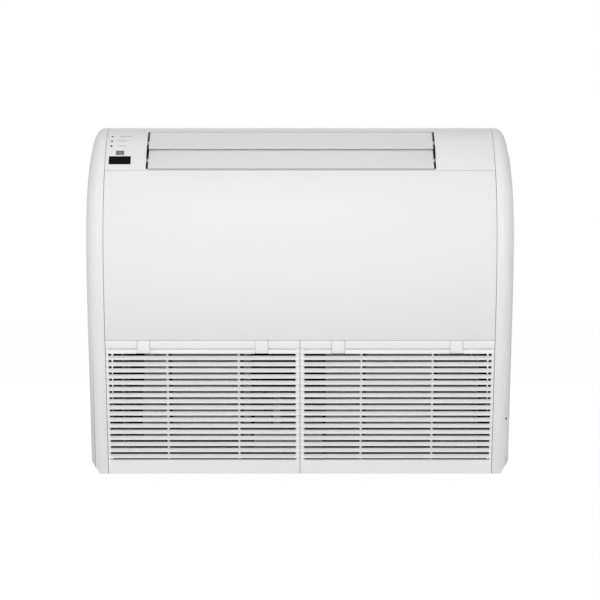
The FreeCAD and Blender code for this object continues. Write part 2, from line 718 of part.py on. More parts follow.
duct_room = duct_block(
    -OUTLET_LEFT - DUCT_MARGIN - DUCT_WALL - REST,
    OUTLET_RIGHT + DUCT_MARGIN + DUCT_WALL + REST,
    -DUCT_DEPTH,
    DUCT_DEPTH,
    -outlet_half - DUCT_MARGIN - DUCT_WALL - REST,
    outlet_half + DUCT_MARGIN + DUCT_WALL + REST,
)
top_panel = join([top_panel, split_lip.cut(duct_room)] + board_posts)
top_panel = top_panel.cut([outlet_cut, button_hole, window_recess] + lamp_holes)
parts["top_panel"] = top_panel.removeSplitter()

# Front panel: moulded sheet with a lip along each edge
panel_low = GRILLE_LENGTH + SEAM
front_room = block(-WIDTH, WIDTH, 0, DEPTH + OVERRUN, 0, PANEL_SPLIT - PANEL_SEAM / 2)
front_room = front_room.cut(slope_block(-WIDTH, WIDTH, -DEPTH, panel_low, -DEPTH, DEPTH))
lip_high = PANEL_SPLIT - PANEL_SEAM / 2
front_lips = [
    rims.common(slope_block(-WIDTH, WIDTH, panel_low, panel_low + SKIN, -DEPTH, DEPTH)),
    rims.common(block(-WIDTH, WIDTH, 0, DEPTH, lip_high - SKIN, lip_high)).cut(duct_room),
]
parts["front_panel"] = join([skin.fuse(end_rims).common(front_room)] + front_lips)

# Display: receiver window, lamp lenses and push button on a small board behind the top panel
window_skin = skin_block(
    -WINDOW_X - window_half + REST,
    -WINDOW_X + window_half - REST,
    WINDOW_HEIGHT,
    WINDOW_LENGTH / 2 - REST,
    -SKIN * 2,
    SKIN,
).common(full.cut(hollow))
parts["receiver_window"] = window_skin
board = skin_block(
    -WINDOW_X - BOARD_WIDTH / 2,
    -WINDOW_X + BOARD_WIDTH / 2,
    BOARD_HEIGHT,
    BOARD_LENGTH / 2,
    -BOARD_DROP - BOARD_SHEET,
    -BOARD_DROP,
)
flange_top = -SKIN - SKIN / 2
switch_top = flange_top - BUTTON_FLANGE_SHEET - BUTTON_TRAVEL - REST
switch_half = BUTTON_LENGTH / 4
switch_low = -BOARD_DROP - BOARD_SHEET / 2
switch = skin_block(
    -BUTTON_X - switch_half, -BUTTON_X + switch_half, BUTTON_HEIGHT, switch_half, switch_low, switch_top
)
parts["display_board"] = board.fuse(switch)
behind_board = skin_block(-WIDTH, 0, BOARD_HEIGHT, HEIGHT / 2, -DEPTH, -BOARD_DROP)
lenses = []
for height in LAMP_HEIGHTS:
    lens = skin_stick(-LAMP_X, height, -BOARD_DROP * 2, SKIN, LAMP_RADIUS)
    lenses.append(lens.common(full).cut(behind_board))
parts["lamp_lenses"] = Part.makeCompound(lenses)
button = skin_block(
    -BUTTON_X - button_half, -BUTTON_X + button_half, BUTTON_HEIGHT, BUTTON_LENGTH / 2, flange_top, 0
)
button_foot = skin_block(
    -BUTTON_X - button_half - BUTTON_FLANGE,
    -BUTTON_X + button_half + BUTTON_FLANGE,
    BUTTON_HEIGHT,
    BUTTON_LENGTH / 2 + BUTTON_FLANGE,
    flange_top - BUTTON_FLANGE_SHEET,
    flange_top,
)
parts["mode_button"] = join([button, button_foot])

# Outlet duct: moulded frame behind the outlet, with the louver bearings and the vane pivots
duct_left = -OUTLET_LEFT - DUCT_MARGIN
duct_right = OUTLET_RIGHT + DUCT_MARGIN
duct_half = outlet_half + DUCT_MARGIN
wall_left = duct_left - DUCT_WALL
wall_right = duct_right + DUCT_WALL
outer_half = duct_half + DUCT_WALL
seat = cabinet(SKIN + REST, -WIDTH, WIDTH, -OVERRUN, -OVERRUN)
duct = duct_block(wall_left, wall_right, -DUCT_DEPTH, DUCT_DEPTH, -outer_half, outer_half)
air_depth = DUCT_DEPTH + OVERRUN
duct = duct.cut(duct_block(duct_left, duct_right, -air_depth, air_depth, -duct_half, duct_half)).common(seat)


# Louvers: two flat blades with ribs and end pins, the lower one tucked behind the upper
class Louver:
    def __init__(self, start, up, first, last):
        self.start, self.up, self.first, self.last = start, up, first, last
        self.middle = (first + last) / 2
        self.pivot = self.at(self.middle, -LOUVER_PIVOT_INSET)

    def at(self, along, out):
        depth = self.start[0] + along * self.up[0] + out * self.up[1]
        return (depth, self.start[1] + along * self.up[1] - out * self.up[0])

    def solid(self):
        left = -OUTLET_LEFT + LOUVER_END_GAP
        right = OUTLET_RIGHT - LOUVER_END_GAP
        section = [(self.first, 0), (self.last, 0), (self.last, -LOUVER_SHEET), (self.first, -LOUVER_SHEET)]
        blade = prism([self.at(*corner) for corner in section], left, right)
        long_edges = [edge for edge in blade.Edges if edge.BoundBox.XLength > LOUVER_SHEET]
        blade = blade.makeChamfer(LOUVER_SHEET / 3, long_edges)
        ear = [
            (self.middle - LOUVER_EAR_BASE, -LOUVER_SHEET / 2),
            (self.middle + LOUVER_EAR_BASE, -LOUVER_SHEET / 2),
            (self.middle + LOUVER_EAR_TIP, -LOUVER_EAR_REACH),
            (self.middle - LOUVER_EAR_TIP, -LOUVER_EAR_REACH),
        ]
        ear = [self.at(*corner) for corner in ear]
        pieces = [blade]
        step = (right - left - LOUVER_EAR) / (LOUVER_RIB_COUNT + 1)
        for index in range(LOUVER_RIB_COUNT + 2):
            pieces.append(prism(ear, left + index * step, left + index * step + LOUVER_EAR))
        pin_end = wall_right + LOUVER_MOTOR_SOCKET - REST
        pieces.append(rod(wall_left, left + TOUCH, self.pivot, LOUVER_PIN_RADIUS))
        pieces.append(rod(right - TOUCH, pin_end, self.pivot, LOUVER_PIN_RADIUS, PIN_SIDES))
        return join(pieces)


middle_low = (skin_depth(OUTLET_MIDDLE), OUTLET_MIDDLE)
upper_span = math.hypot(outlet_high[0] - middle_low[0], outlet_high[1] - middle_low[1])
upper_up = ((outlet_high[0] - middle_low[0]) / upper_span, (outlet_high[1] - middle_low[1]) / upper_span)
lower_up = (-math.sin(LOUVER_TILT), math.cos(LOUVER_TILT))
lower_span = (OUTLET_MIDDLE + LOUVER_OVERLAP - OUTLET_LOW) / lower_up[1]
louvers = {
    "upper_louver": Louver(middle_low, upper_up, LOUVER_GAP / 2, upper_span - LOUVER_GAP),
    "lower_louver": Louver(outlet_low, lower_up, LOUVER_GAP, lower_span),
}
bore_radius = clear_radius(LOUVER_PIN_RADIUS)
boss_radius = bore_radius + BOSS_WALL
socket_end = wall_right + LOUVER_MOTOR_SOCKET
for name, louver in louvers.items():
    parts[name] = louver.solid()
    bore = rod(wall_left - OVERRUN, wall_right + OVERRUN, louver.pivot, bore_radius, PIN_SIDES)
    bosses = [
        rod(duct_left - TOUCH, duct_left + BOSS_RISE, louver.pivot, boss_radius, PIN_SIDES),
        rod(duct_right - BOSS_RISE, duct_right + TOUCH, louver.pivot, boss_radius, PIN_SIDES),
    ]
    duct = join([duct] + bosses).cut(bore)
    can_centre = tuple(spot - LOUVER_MOTOR_OFFSET * part for spot, part in zip(louver.pivot, OUTWARD))
    can_end = wall_right + LOUVER_MOTOR_LENGTH
    can = rod(wall_right, can_end, can_centre, LOUVER_MOTOR_RADIUS, DRUM_SIDES)
    corners = []
    for out, across in ((-1, -1), (1, -1), (1, 1), (-1, 1)):
        reach = (out * LOUVER_MOTOR_EAR_WIDTH / 2, across * LOUVER_MOTOR_EAR)
        depth = can_centre[0] + reach[0] * OUTWARD[0] + reach[1] * ACROSS[0]
        corners.append((depth, can_centre[1] + reach[0] * OUTWARD[1] + reach[1] * ACROSS[1]))
    ears = prism(corners, wall_right, wall_right + DUCT_WALL)
    socket = rod(wall_right - OVERRUN, socket_end, louver.pivot, bore_radius, PIN_SIDES)
    parts[name + "_motor"] = join([can, ears]).cut(socket)

# Vanes: upright plates on pins between the duct walls, one link bar to each group
vane_half = duct_half - VANE_END_GAP
notch_half = VANE_NOTCH / 2
outlet_middle = (OUTLET_RIGHT - OUTLET_LEFT) / 2
vane_count = VANE_GROUPS * VANES_PER_GROUP
vane_pitch = (OUTLET_LEFT + OUTLET_RIGHT - 2 * VANE_END_ROOM) / (vane_count - 1)
for group in range(VANE_GROUPS):
    side_name = ("left", "right")[group]
    places = []
    for index in range(VANES_PER_GROUP):
        x = outlet_middle + (group * VANES_PER_GROUP + index - (vane_count - 1) / 2) * vane_pitch
        places.append(x)
        half = VANE_SHEET / 2
        vane = duct_block(x - half, x + half, -VANE_BACK, -VANE_FRONT, -vane_half, vane_half)
        notch_low, notch_high = -VANE_BACK - OVERRUN, VANE_NOTCH_DEPTH - VANE_BACK
        sides = (x - VANE_SHEET, x + VANE_SHEET)
        vane = vane.cut(duct_block(sides[0], sides[1], notch_low, notch_high, -notch_half, notch_half))
        link_ends = (duct_at(-VANE_LINK, -notch_half), duct_at(-VANE_LINK, notch_half))
        link_pin = stick(x, link_ends[0], link_ends[1], VANE_PIN_RADIUS, PIN_SIDES)
        pin_ends = [duct_at(-VANE_PIVOT, end) for end in (-outer_half, TOUCH - vane_half)]
        low_pin = stick(x, pin_ends[0], pin_ends[1], VANE_PIN_RADIUS)
        pin_ends = [duct_at(-VANE_PIVOT, end) for end in (vane_half - TOUCH, outer_half)]
        high_pin = stick(x, pin_ends[0], pin_ends[1], VANE_PIN_RADIUS, PIN_SIDES)
        parts[f"{side_name}_vane_{index + 1}"] = join([vane, link_pin, low_pin, high_pin])
        hole_ends = (duct_at(-VANE_PIVOT, -outer_half - OVERRUN), duct_at(-VANE_PIVOT, outer_half + OVERRUN))
        duct = duct.cut(stick(x, hole_ends[0], hole_ends[1], clear_radius(VANE_PIN_RADIUS), PIN_SIDES))
    edge = LINK_WIDTH / 2
    link = duct_block(
        places[0] - LINK_TAIL,
        places[-1] + LINK_TAIL,
        -VANE_LINK - edge,
        -VANE_LINK + edge,
        -LINK_SHEET / 2,
        LINK_SHEET / 2,
    )
    hole_ends = (duct_at(-VANE_LINK, -LINK_SHEET), duct_at(-VANE_LINK, LINK_SHEET))
    link = link.cut(stick(places[0], hole_ends[0], hole_ends[1], VANE_PIN_RADIUS + PIN_PLAY))
    for x in places[1:]:
        link = link.cut(stick(x, hole_ends[0], hole_ends[1], clear_radius(VANE_PIN_RADIUS), PIN_SIDES))
    parts[f"{side_name}_vane_link"] = link
parts["outlet_duct"] = duct

# Coil: slanted fin pack between two end plates, with the return bends of its tubes
COIL_UP = (-math.sin(COIL_LEAN), math.cos(COIL_LEAN))
coil_length = TUBES_PER_ROW * TUBE_PITCH
coil_half = COIL_THICKNESS / 2


def coil_at(along, out):
    """Depth and height of a point up the coil from its foot and out from its middle plane."""
    depth = COIL_FOOT_DEPTH + along * COIL_UP[0] + out * COIL_UP[1]
    return (depth, COIL_FOOT_HEIGHT + along * COIL_UP[1] - out * COIL_UP[0])


def coil_block(x0, x1, rim):
    corners = [(-rim, -coil_half - rim), (coil_length + rim, -coil_half - rim)]
    corners += [(coil_length + rim, coil_half + rim), (-rim, coil_half + rim)]
    return prism([coil_at(*corner) for corner in corners], x0, x1)


tube_spots = {}
for row in (0, 1):
    for index in range(TUBES_PER_ROW):
        tube_spots[row, index] = coil_at((index + 1 / 2) * TUBE_PITCH, (row - 1 / 2) * TUBE_ROW_PITCH)
parts["coil_fins"] = coil_block(-COIL_LEFT, COIL_RIGHT, 0)
plate_left = -COIL_LEFT - COIL_PLATE
plate_right = COIL_RIGHT
foot_low = coil_at(coil_length - COIL_FOOT_WIDTH, -coil_half)
foot = [
    (wall_start, foot_low[1]),
    foot_low,
    coil_at(coil_length, -coil_half),
    (wall_start, coil_at(coil_length, -coil_half)[1]),
]
flange_low, flange_high = foot[0][1], foot[3][1]
end_plates = []
for start, tab in ((plate_left, -1), (plate_right, 1)):
    tab_edge = start + COIL_PLATE / 2 + tab * COIL_FOOT_WIDTH / 2
    tab_range = sorted((start + COIL_PLATE / 2, tab_edge))
    sheet = join(
        [
            coil_block(start, start + COIL_PLATE, COIL_PLATE_RIM),
            prism(foot, start, start + COIL_PLATE),
            block(tab_range[0], tab_range[1], wall_start, wall_start + COIL_PLATE, flange_low, flange_high),
        ]
    )
    end_plates.append(sheet)
parts["coil_end_plates"] = Part.makeCompound(end_plates)


def tube_bend(centre, axis, start, direction, turn, radius, sides):
    """Tube with flat sides round part of a circle, from its start."""
    loops = []
    for index in range(BEND_STEPS + 1):
        outline = ring(start, direction, radius, sides)
        outline.rotate(centre, axis, index * turn / BEND_STEPS)
        loops.append([vertex.Point for vertex in outline.OrderedVertexes])
    faces = [Part.Face(Part.makePolygon(loop + loop[:1])) for loop in (loops[0], loops[-1])]
    for near, far in zip(loops, loops[1:]):
        for index in range(sides):
            corners = [near[index - 1], near[index], far[index], far[index - 1]]
            faces.append(Part.Face(Part.makePolygon(corners + corners[:1])))
    solid = Part.Solid(Part.Shell(faces))
    solid.fix(TOUCH, TOUCH, TOUCH)
    return solid


def return_bend(face_x, sign, first, second):
    """Half ring of tube between two tube ends on an end plate."""
    start, end = place(face_x, *first), place(face_x, *second)
    axis = X_AXIS.cross(end - start) * sign
    return tube_bend((start + end) / 2, axis, start, X_AXIS, 180, TUBE_RADIUS, TUBE_SIDES)


bends = []
pipe_start = plate_right + COIL_PLATE
for row in (0, 1):
    for index in range(0, TUBES_PER_ROW - 1, 2):
        bends.append(return_bend(plate_left, -1, tube_spots[row, index], tube_spots[row, index + 1]))
    for index in range(1, TUBES_PER_ROW - 1, 2):
        first, second = tube_spots[row, index], tube_spots[row, index + 1]
        bends.append(return_bend(pipe_start, 1, first, second))
top_tube = TUBES_PER_ROW - 1
bends.append(return_bend(pipe_start, 1, tube_spots[0, top_tube], tube_spots[1, top_tube]))
parts["return_bends"] = Part.makeCompound(bends)

# Gas and liquid pipes: copper tube from the foot of the coil round one bend to the back plate's opening
def pipe(start, x, radius):
    """Tube out along the coil, round one bend and back to the wall plane, with its end open."""
    bend_start = place(x - PIPE_BEND, *start)
    bend_centre = bend_start + toward(-PIPE_BEND, 0)
    back_run = ((start[0] - PIPE_BEND, start[1]), (PIPE_END, start[1]))
    pieces = [
        rod(pipe_start, bend_start.x, start, radius, PIPE_SIDES),
        tube_bend(bend_centre, toward(0, 1), bend_start, X_AXIS, 90, radius, PIPE_SIDES),
        stick(x, back_run[0], back_run[1], radius, PIPE_SIDES),
    ]
    bore_ends = ((PIPE_END - OVERRUN, start[1]), (FLARE_NUT_BACK, start[1]))
    return join(pieces).cut(stick(x, bore_ends[0], bore_ends[1], radius - PIPE_WALL, PIPE_SIDES))


def flare_nut(x, height, radius):
    """Hexagon nut, loose on its pipe."""
    ends = ((FLARE_NUT_BACK, height), (FLARE_NUT_BACK + FLARE_NUT_LENGTH, height))
    nut = stick(x, ends[0], ends[1], radius + FLARE_NUT_WALL, NUT_SIDES)
    bore_ends = ((FLARE_NUT_BACK - OVERRUN, height), (FLARE_NUT_BACK + FLARE_NUT_LENGTH + OVERRUN, height))
    return nut.cut(stick(x, bore_ends[0], bore_ends[1], radius + PIN_PLAY, PIPE_SIDES))


gas_start, liquid_start = tube_spots[1, 0], tube_spots[0, 0]
parts["gas_pipe"] = pipe(gas_start, GAS_X, GAS_RADIUS)
parts["liquid_pipe"] = pipe(liquid_start, LIQUID_X, LIQUID_RADIUS)
nuts = [flare_nut(GAS_X, gas_start[1], GAS_RADIUS), flare_nut(LIQUID_X, liquid_start[1], LIQUID_RADIUS)]
parts["flare_nuts"] = Part.makeCompound(nuts)

# Drain pan: moulded trough on the fan deck, under and in front of the coil's foot, with its spout
pan_low = DECK_HEIGHT + SHEET
pan_room = block(-PAN_HALF_LENGTH, PAN_HALF_LENGTH, PAN_BACK, DEPTH, pan_low, pan_low + PAN_FRONT_HEIGHT)
pan = cabinet(CHAMBER_FRONT, -PAN_HALF_LENGTH, PAN_HALF_LENGTH).common(pan_room)
trough_end = PAN_HALF_LENGTH - PAN_WALL
trough_low = pan_low + PAN_FLOOR
trough = cabinet(CHAMBER_FRONT + PAN_WALL, -trough_end, trough_end).common(
    block(-trough_end, trough_end, PAN_BACK + PAN_WALL, DEPTH, trough_low, HEIGHT)
)
pan_cut = [
    (PAN_BACK - OVERRUN, pan_low + PAN_BACK_HEIGHT),
    (PAN_BACK + PAN_WALL, pan_low + PAN_BACK_HEIGHT),
    (skin_depth(pan_low + PAN_FRONT_HEIGHT) - CHAMBER_FRONT - PAN_WALL, pan_low + PAN_FRONT_HEIGHT),
    (PAN_BACK - OVERRUN, pan_low + PAN_FRONT_HEIGHT + OVERRUN),
]
pan = pan.cut([trough, prism(pan_cut, -WIDTH, WIDTH)])
rest_point = coil_at(0, -coil_half)
first_rest = PAN_REST_INSET - COIL_LEFT
rest_step = (COIL_RIGHT - PAN_REST_INSET - first_rest) / (PAN_REST_COUNT - 1)
rests = []
for index in range(PAN_REST_COUNT):
    middle = first_rest + index * rest_step
    rests.append(
        block(
            middle - PAN_REST_WIDTH / 2,
            middle + PAN_REST_WIDTH / 2,
            rest_point[0] - PAN_REST_LENGTH / 2,
            rest_point[0] + PAN_REST_LENGTH / 2,
            pan_low,
            rest_point[1] - REST,
        )
    )
drain_height = trough_low + DRAIN_BORE
spout_ends = ((PAN_BACK + PAN_WALL / 2, drain_height), (PIPE_END, drain_height))
spout = stick(DRAIN_X, spout_ends[0], spout_ends[1], DRAIN_RADIUS)
bore_ends = ((PAN_BACK + PAN_WALL + OVERRUN, drain_height), (PIPE_END - OVERRUN, drain_height))
spout_bore = stick(DRAIN_X, bore_ends[0], bore_ends[1], DRAIN_BORE)
parts["drain_pan"] = join([pan, spout] + rests).cut(spout_bore)

# Fan deck: steel shelf between the fan section and the coil, with the scroll outlets
cutoff_depth = FAN_DEPTH + SCROLL_TOP_RADIUS * math.cos(SCROLL_CUTOFF)
front_centre = (FAN_DEPTH + SCROLL_TOP_RADIUS - SCROLL_FRONT_RADIUS, FAN_HEIGHT)
rear_centre = (front_centre[0], FAN_HEIGHT - SCROLL_FRONT_RADIUS + SCROLL_REAR_RADIUS)
deck = join(
    [
        block(-inner_half, inner_half, wall_start, DECK_FRONT, DECK_HEIGHT, DECK_HEIGHT + SHEET),
        block(
            -inner_half,
            PIPE_OPENING_LEFT - REST,
            wall_start,
            wall_start + SHEET,
            DECK_HEIGHT,
            DECK_HEIGHT + DECK_LIP,
        ),
    ]
)
for middle in (SCROLL_LEFT_X, SCROLL_RIGHT_X):
    half = SCROLL_WIDTH / 2 - SCROLL_WALL
    ends = (DECK_HEIGHT - OVERRUN, HEIGHT / 2)
    deck = deck.cut(block(middle - half, middle + half, SCROLL_BACK, cutoff_depth, ends[0], ends[1]))
parts["fan_deck"] = deck

# Scroll housings: moulded spirals around the drum wheels, split through the shaft
scroll_top = DECK_HEIGHT - REST


def scroll_outline(grow):
    """Spiral of three arcs from the cut-off round to the straight rear wall and the outlet."""
    top_radius = SCROLL_TOP_RADIUS + grow
    wall_depth = cutoff_depth + grow
    cutoff = math.acos((wall_depth - FAN_DEPTH) / top_radius)
    top_centre = (FAN_DEPTH, FAN_HEIGHT)
    rear_depth = SCROLL_BACK - grow
    return [
        arc(top_centre, top_radius, cutoff, 0),
        arc(front_centre, SCROLL_FRONT_RADIUS + grow, 0, -math.pi / 2),
        arc(rear_centre, SCROLL_REAR_RADIUS + grow, -math.pi / 2, -math.pi),
        line((rear_depth, rear_centre[1]), (rear_depth, scroll_top)),
        line((rear_depth, scroll_top), (wall_depth, scroll_top)),
        line((wall_depth, scroll_top), polar(top_centre, top_radius, cutoff)),
    ]


def scroll_halves(middle):
    left, right = middle - SCROLL_WIDTH / 2, middle + SCROLL_WIDTH / 2
    shaft_line = (FAN_DEPTH, FAN_HEIGHT)
    flange_front = cutoff_depth + SCROLL_WALL + SCROLL_FLANGE
    housing = join(
        [
            span(scroll_outline(SCROLL_WALL), left, right),
            block(
                left - SCROLL_FLANGE,
                right + SCROLL_FLANGE,
                SCROLL_BACK - SCROLL_WALL,
                flange_front,
                scroll_top - SCROLL_WALL,
                scroll_top,
            ),
        ]
    )
    air_left, air_right = left + SCROLL_WALL, right - SCROLL_WALL
    air = [
        span(scroll_outline(0), air_left, air_right),
        rod(left - OVERRUN, right + OVERRUN, shaft_line, SCROLL_INLET_RADIUS, DRUM_SIDES),
        block(air_left, air_right, SCROLL_BACK, cutoff_depth, FAN_HEIGHT, scroll_top + OVERRUN),
    ]
    housing = housing.cut(air)
    split = SCROLL_SPLIT / 2
    front = housing.cut(block(-WIDTH, WIDTH, -OVERRUN, FAN_DEPTH + split, -OVERRUN, HEIGHT))
    rear = housing.cut(block(-WIDTH, WIDTH, FAN_DEPTH - split, DEPTH, -OVERRUN, HEIGHT))
    return front, rear


for side_name, middle in (("left", SCROLL_LEFT_X), ("right", SCROLL_RIGHT_X)):
    front, rear = scroll_halves(middle)
    parts[side_name + "_scroll_front"] = front
    parts[side_name + "_scroll_rear"] = rear

# Drum wheels: forward-curved blades between a middle disc and two end rings
shaft_line = (FAN_DEPTH, FAN_HEIGHT)


def wheel_blade(x0, x1):
    """Forward-leaning plate between the inner and the outer radius."""
    tip_radius = FAN_RADIUS * math.cos(math.pi / DRUM_SIDES) - TOUCH
    steps = [(FAN_INNER_RADIUS + TOUCH, 0), (tip_radius, FAN_BLADE_LEAN)]
    rear = [polar(shaft_line, radius, angle) for radius, angle in steps]
    front = [polar(shaft_line, radius, angle + FAN_BLADE_ANGLE) for radius, angle in reversed(steps)]
    return prism(rear + front, x0, x1)


def drum_wheel(middle):
    left, right = middle - FAN_LENGTH / 2, middle + FAN_LENGTH / 2
    eye = rod(left - OVERRUN, right + OVERRUN, shaft_line, FAN_INNER_RADIUS, DRUM_SIDES)
    hub_half = FAN_HUB_LENGTH / 2
    pieces = [
        rod(left, left + FAN_RING, shaft_line, FAN_RADIUS, DRUM_SIDES).cut(eye),
        rod(right - FAN_RING, right, shaft_line, FAN_RADIUS, DRUM_SIDES).cut(eye),
        rod(middle - FAN_DISC / 2, middle + FAN_DISC / 2, shaft_line, FAN_RADIUS, DRUM_SIDES),
        rod(middle - hub_half, middle + hub_half, shaft_line, FAN_HUB_RADIUS, PIN_SIDES),
    ]
    blade = wheel_blade(left + FAN_RING / 2, right - FAN_RING / 2)
    for index in range(FAN_BLADES):
        turned = blade.copy()
        turned.rotate(place(0, *shaft_line), X_AXIS, index * 360 / FAN_BLADES)
        pieces.append(turned)
    return join(pieces).cut(rod(left, right, shaft_line, SHAFT_RADIUS + SHAFT_FIT))


parts["left_fan_wheel"] = drum_wheel(SCROLL_LEFT_X)
parts["right_fan_wheel"] = drum_wheel(SCROLL_RIGHT_X)
shaft_reach = FAN_HUB_LENGTH / 2 + SHAFT_TAIL
parts["fan_shaft"] = rod(SCROLL_LEFT_X - shaft_reach, SCROLL_RIGHT_X + shaft_reach, shaft_line, SHAFT_RADIUS)

# Fan motor: can with a bearing nose at each end, held by two straps on a bent bracket
can_half = MOTOR_LENGTH / 2
nose_half = can_half + MOTOR_NOSE
motor = rod(MOTOR_X - can_half, MOTOR_X + can_half, shaft_line, MOTOR_RADIUS, DRUM_SIDES)
noses = rod(MOTOR_X - nose_half, MOTOR_X + nose_half, shaft_line, MOTOR_NOSE_RADIUS, DRUM_SIDES)
bore_half = nose_half + OVERRUN
motor_bore = rod(MOTOR_X - bore_half, MOTOR_X + bore_half, shaft_line, SHAFT_RADIUS + SHAFT_FIT)
parts["fan_motor"] = join([motor, noses]).cut(motor_bore)
shelf_high = FAN_HEIGHT - MOTOR_RADIUS - REST
shelf_low = shelf_high - BRACKET_SHEET
bracket_left, bracket_right = MOTOR_X - BRACKET_WIDTH / 2, MOTOR_X + BRACKET_WIDTH / 2
strap_outer = MOTOR_RADIUS + REST + STRAP_SHEET
shelf_front = FAN_DEPTH + strap_outer
leg = [
    (shelf_front - BRACKET_SHEET, shelf_high),
    (shelf_front, shelf_high),
    (BRACKET_FRONT, plate_low),
    (BRACKET_FRONT - BRACKET_SHEET, plate_low),
]
parts["motor_bracket"] = join(
    [
        block(bracket_left, bracket_right, wall_start, shelf_front, shelf_low, shelf_high),
        prism(leg, bracket_left, bracket_right),
        block(
            bracket_left,
            bracket_right,
            BRACKET_FRONT - BRACKET_FOOT,
            BRACKET_FRONT - BRACKET_SHEET / 2,
            plate_low,
            plate_low + BRACKET_SHEET,
        ),
        block(
            bracket_left,
            bracket_right,
            wall_start,
            wall_start + BRACKET_SHEET,
            shelf_low,
            shelf_high + BRACKET_BACK_FLANGE,
        ),
    ]
)
straps = []
for step in (-1, 1):
    left = MOTOR_X + step * STRAP_SPACING / 2 - STRAP_WIDTH / 2
    right = left + STRAP_WIDTH
    hoop = rod(left, right, shaft_line, strap_outer, DRUM_SIDES).fuse(
        block(left, right, FAN_DEPTH - strap_outer, FAN_DEPTH + strap_outer, shelf_high, FAN_HEIGHT)
    )
    before, after = left - OVERRUN, right + OVERRUN
    strap_inner = strap_outer - STRAP_SHEET
    strap_low = shelf_high + STRAP_SHEET
    foot_gap = strap_outer - STRAP_FOOT
    rooms = [
        rod(before, after, shaft_line, MOTOR_RADIUS + REST, DRUM_SIDES),
        block(before, after, FAN_DEPTH - strap_inner, FAN_DEPTH + strap_inner, strap_low, FAN_HEIGHT),
        block(before, after, FAN_DEPTH - foot_gap, FAN_DEPTH + foot_gap, 0, FAN_HEIGHT),
        block(before, after, 0, DEPTH, 0, shelf_high),
    ]
    straps.append(hoop.cut(rooms))
parts["motor_straps"] = Part.makeCompound(straps)

# Control box: moulded box beside the right scroll, with its cover, circuit board and terminal block
box_back = wall_start
box = block(BOX_LEFT, BOX_RIGHT, box_back, BOX_FRONT, BOX_LOW, BOX_HIGH)
box = box.cut(
    block(
        BOX_LEFT + BOX_WALL,
        BOX_RIGHT - BOX_WALL,
        box_back + BOX_WALL,
        BOX_FRONT + OVERRUN,
        BOX_LOW + BOX_WALL,
        BOX_HIGH - BOX_WALL,
    )
)
pcb_back = box_back + BOX_WALL + PCB_BACK_GAP
pcb_sides = (BOX_LEFT + BOX_WALL + PCB_MARGIN, BOX_RIGHT - BOX_WALL - PCB_MARGIN)
pcb_ends = (BOX_LOW + BOX_WALL + PCB_MARGIN, BOX_HIGH - BOX_WALL - PCB_MARGIN)
posts = []
for x in (pcb_sides[0] + PCB_MARGIN, pcb_sides[1] - PCB_MARGIN):
    for height in (pcb_ends[0] + PCB_MARGIN, pcb_ends[1] - PCB_MARGIN):
        post_ends = ((box_back + BOX_WALL / 2, height), (pcb_back, height))
        posts.append(stick(x, post_ends[0], post_ends[1], PCB_POST_RADIUS, PIN_SIDES))
parts["control_box"] = join([box] + posts)
pcb = block(pcb_sides[0], pcb_sides[1], pcb_back, pcb_back + PCB_SHEET, pcb_ends[0], pcb_ends[1])
parts["control_board"] = pcb
cover_grow = BOX_COVER + REST
cover = block(
    BOX_LEFT - cover_grow,
    BOX_RIGHT + cover_grow,
    BOX_FRONT - BOX_COVER_LIP,
    BOX_FRONT + cover_grow,
    BOX_LOW - cover_grow,
    BOX_HIGH + cover_grow,
)
cover = cover.cut(
    block(BOX_LEFT - REST, BOX_RIGHT + REST, 0, BOX_FRONT + REST, BOX_LOW - REST, BOX_HIGH + REST)
)
parts["control_box_cover"] = cover
terminal_back = BOX_FRONT + cover_grow
terminal_left = (BOX_LEFT + BOX_RIGHT - TERMINAL_WIDTH) / 2
terminal = block(
    terminal_left,
    terminal_left + TERMINAL_WIDTH,
    terminal_back,
    terminal_back + TERMINAL_DEPTH,
    TERMINAL_LOW,
    TERMINAL_LOW + TERMINAL_HEIGHT,
)
for index in range(TERMINAL_WAYS):
    middle = terminal_left + (index + 1 / 2) * TERMINAL_WIDTH / TERMINAL_WAYS
    terminal = terminal.cut(
        block(
            middle - TERMINAL_SLOT / 2,
            middle + TERMINAL_SLOT / 2,
            terminal_back + TERMINAL_DEPTH - TERMINAL_SLOT_DEPTH,
            terminal_back + TERMINAL_DEPTH + OVERRUN,
            TERMINAL_LOW - OVERRUN,
            TERMINAL_LOW + TERMINAL_HEIGHT + OVERRUN,
        )
    )
parts["terminal_block"] = terminal

# Inlet grilles: moulded frames with slanted slats, hinged at the foot, each with a filter and two latches
rail_low = GRILLE_LENGTH - GRILLE_RAIL


def slat(x0, x1, index):
    nose = SLAT_FIRST - index * SLAT_PITCH
    rear = nose + SLAT_RISE if index else rail_low - SLAT_SHEET + TOUCH
    corners = [(nose, 0), (nose + SLAT_LIP, 0), (rear + SLAT_SHEET, -SLAT_DEPTH), (rear, -SLAT_DEPTH)]
    return prism([slope_at(*corner) for corner in corners], x0, x1)


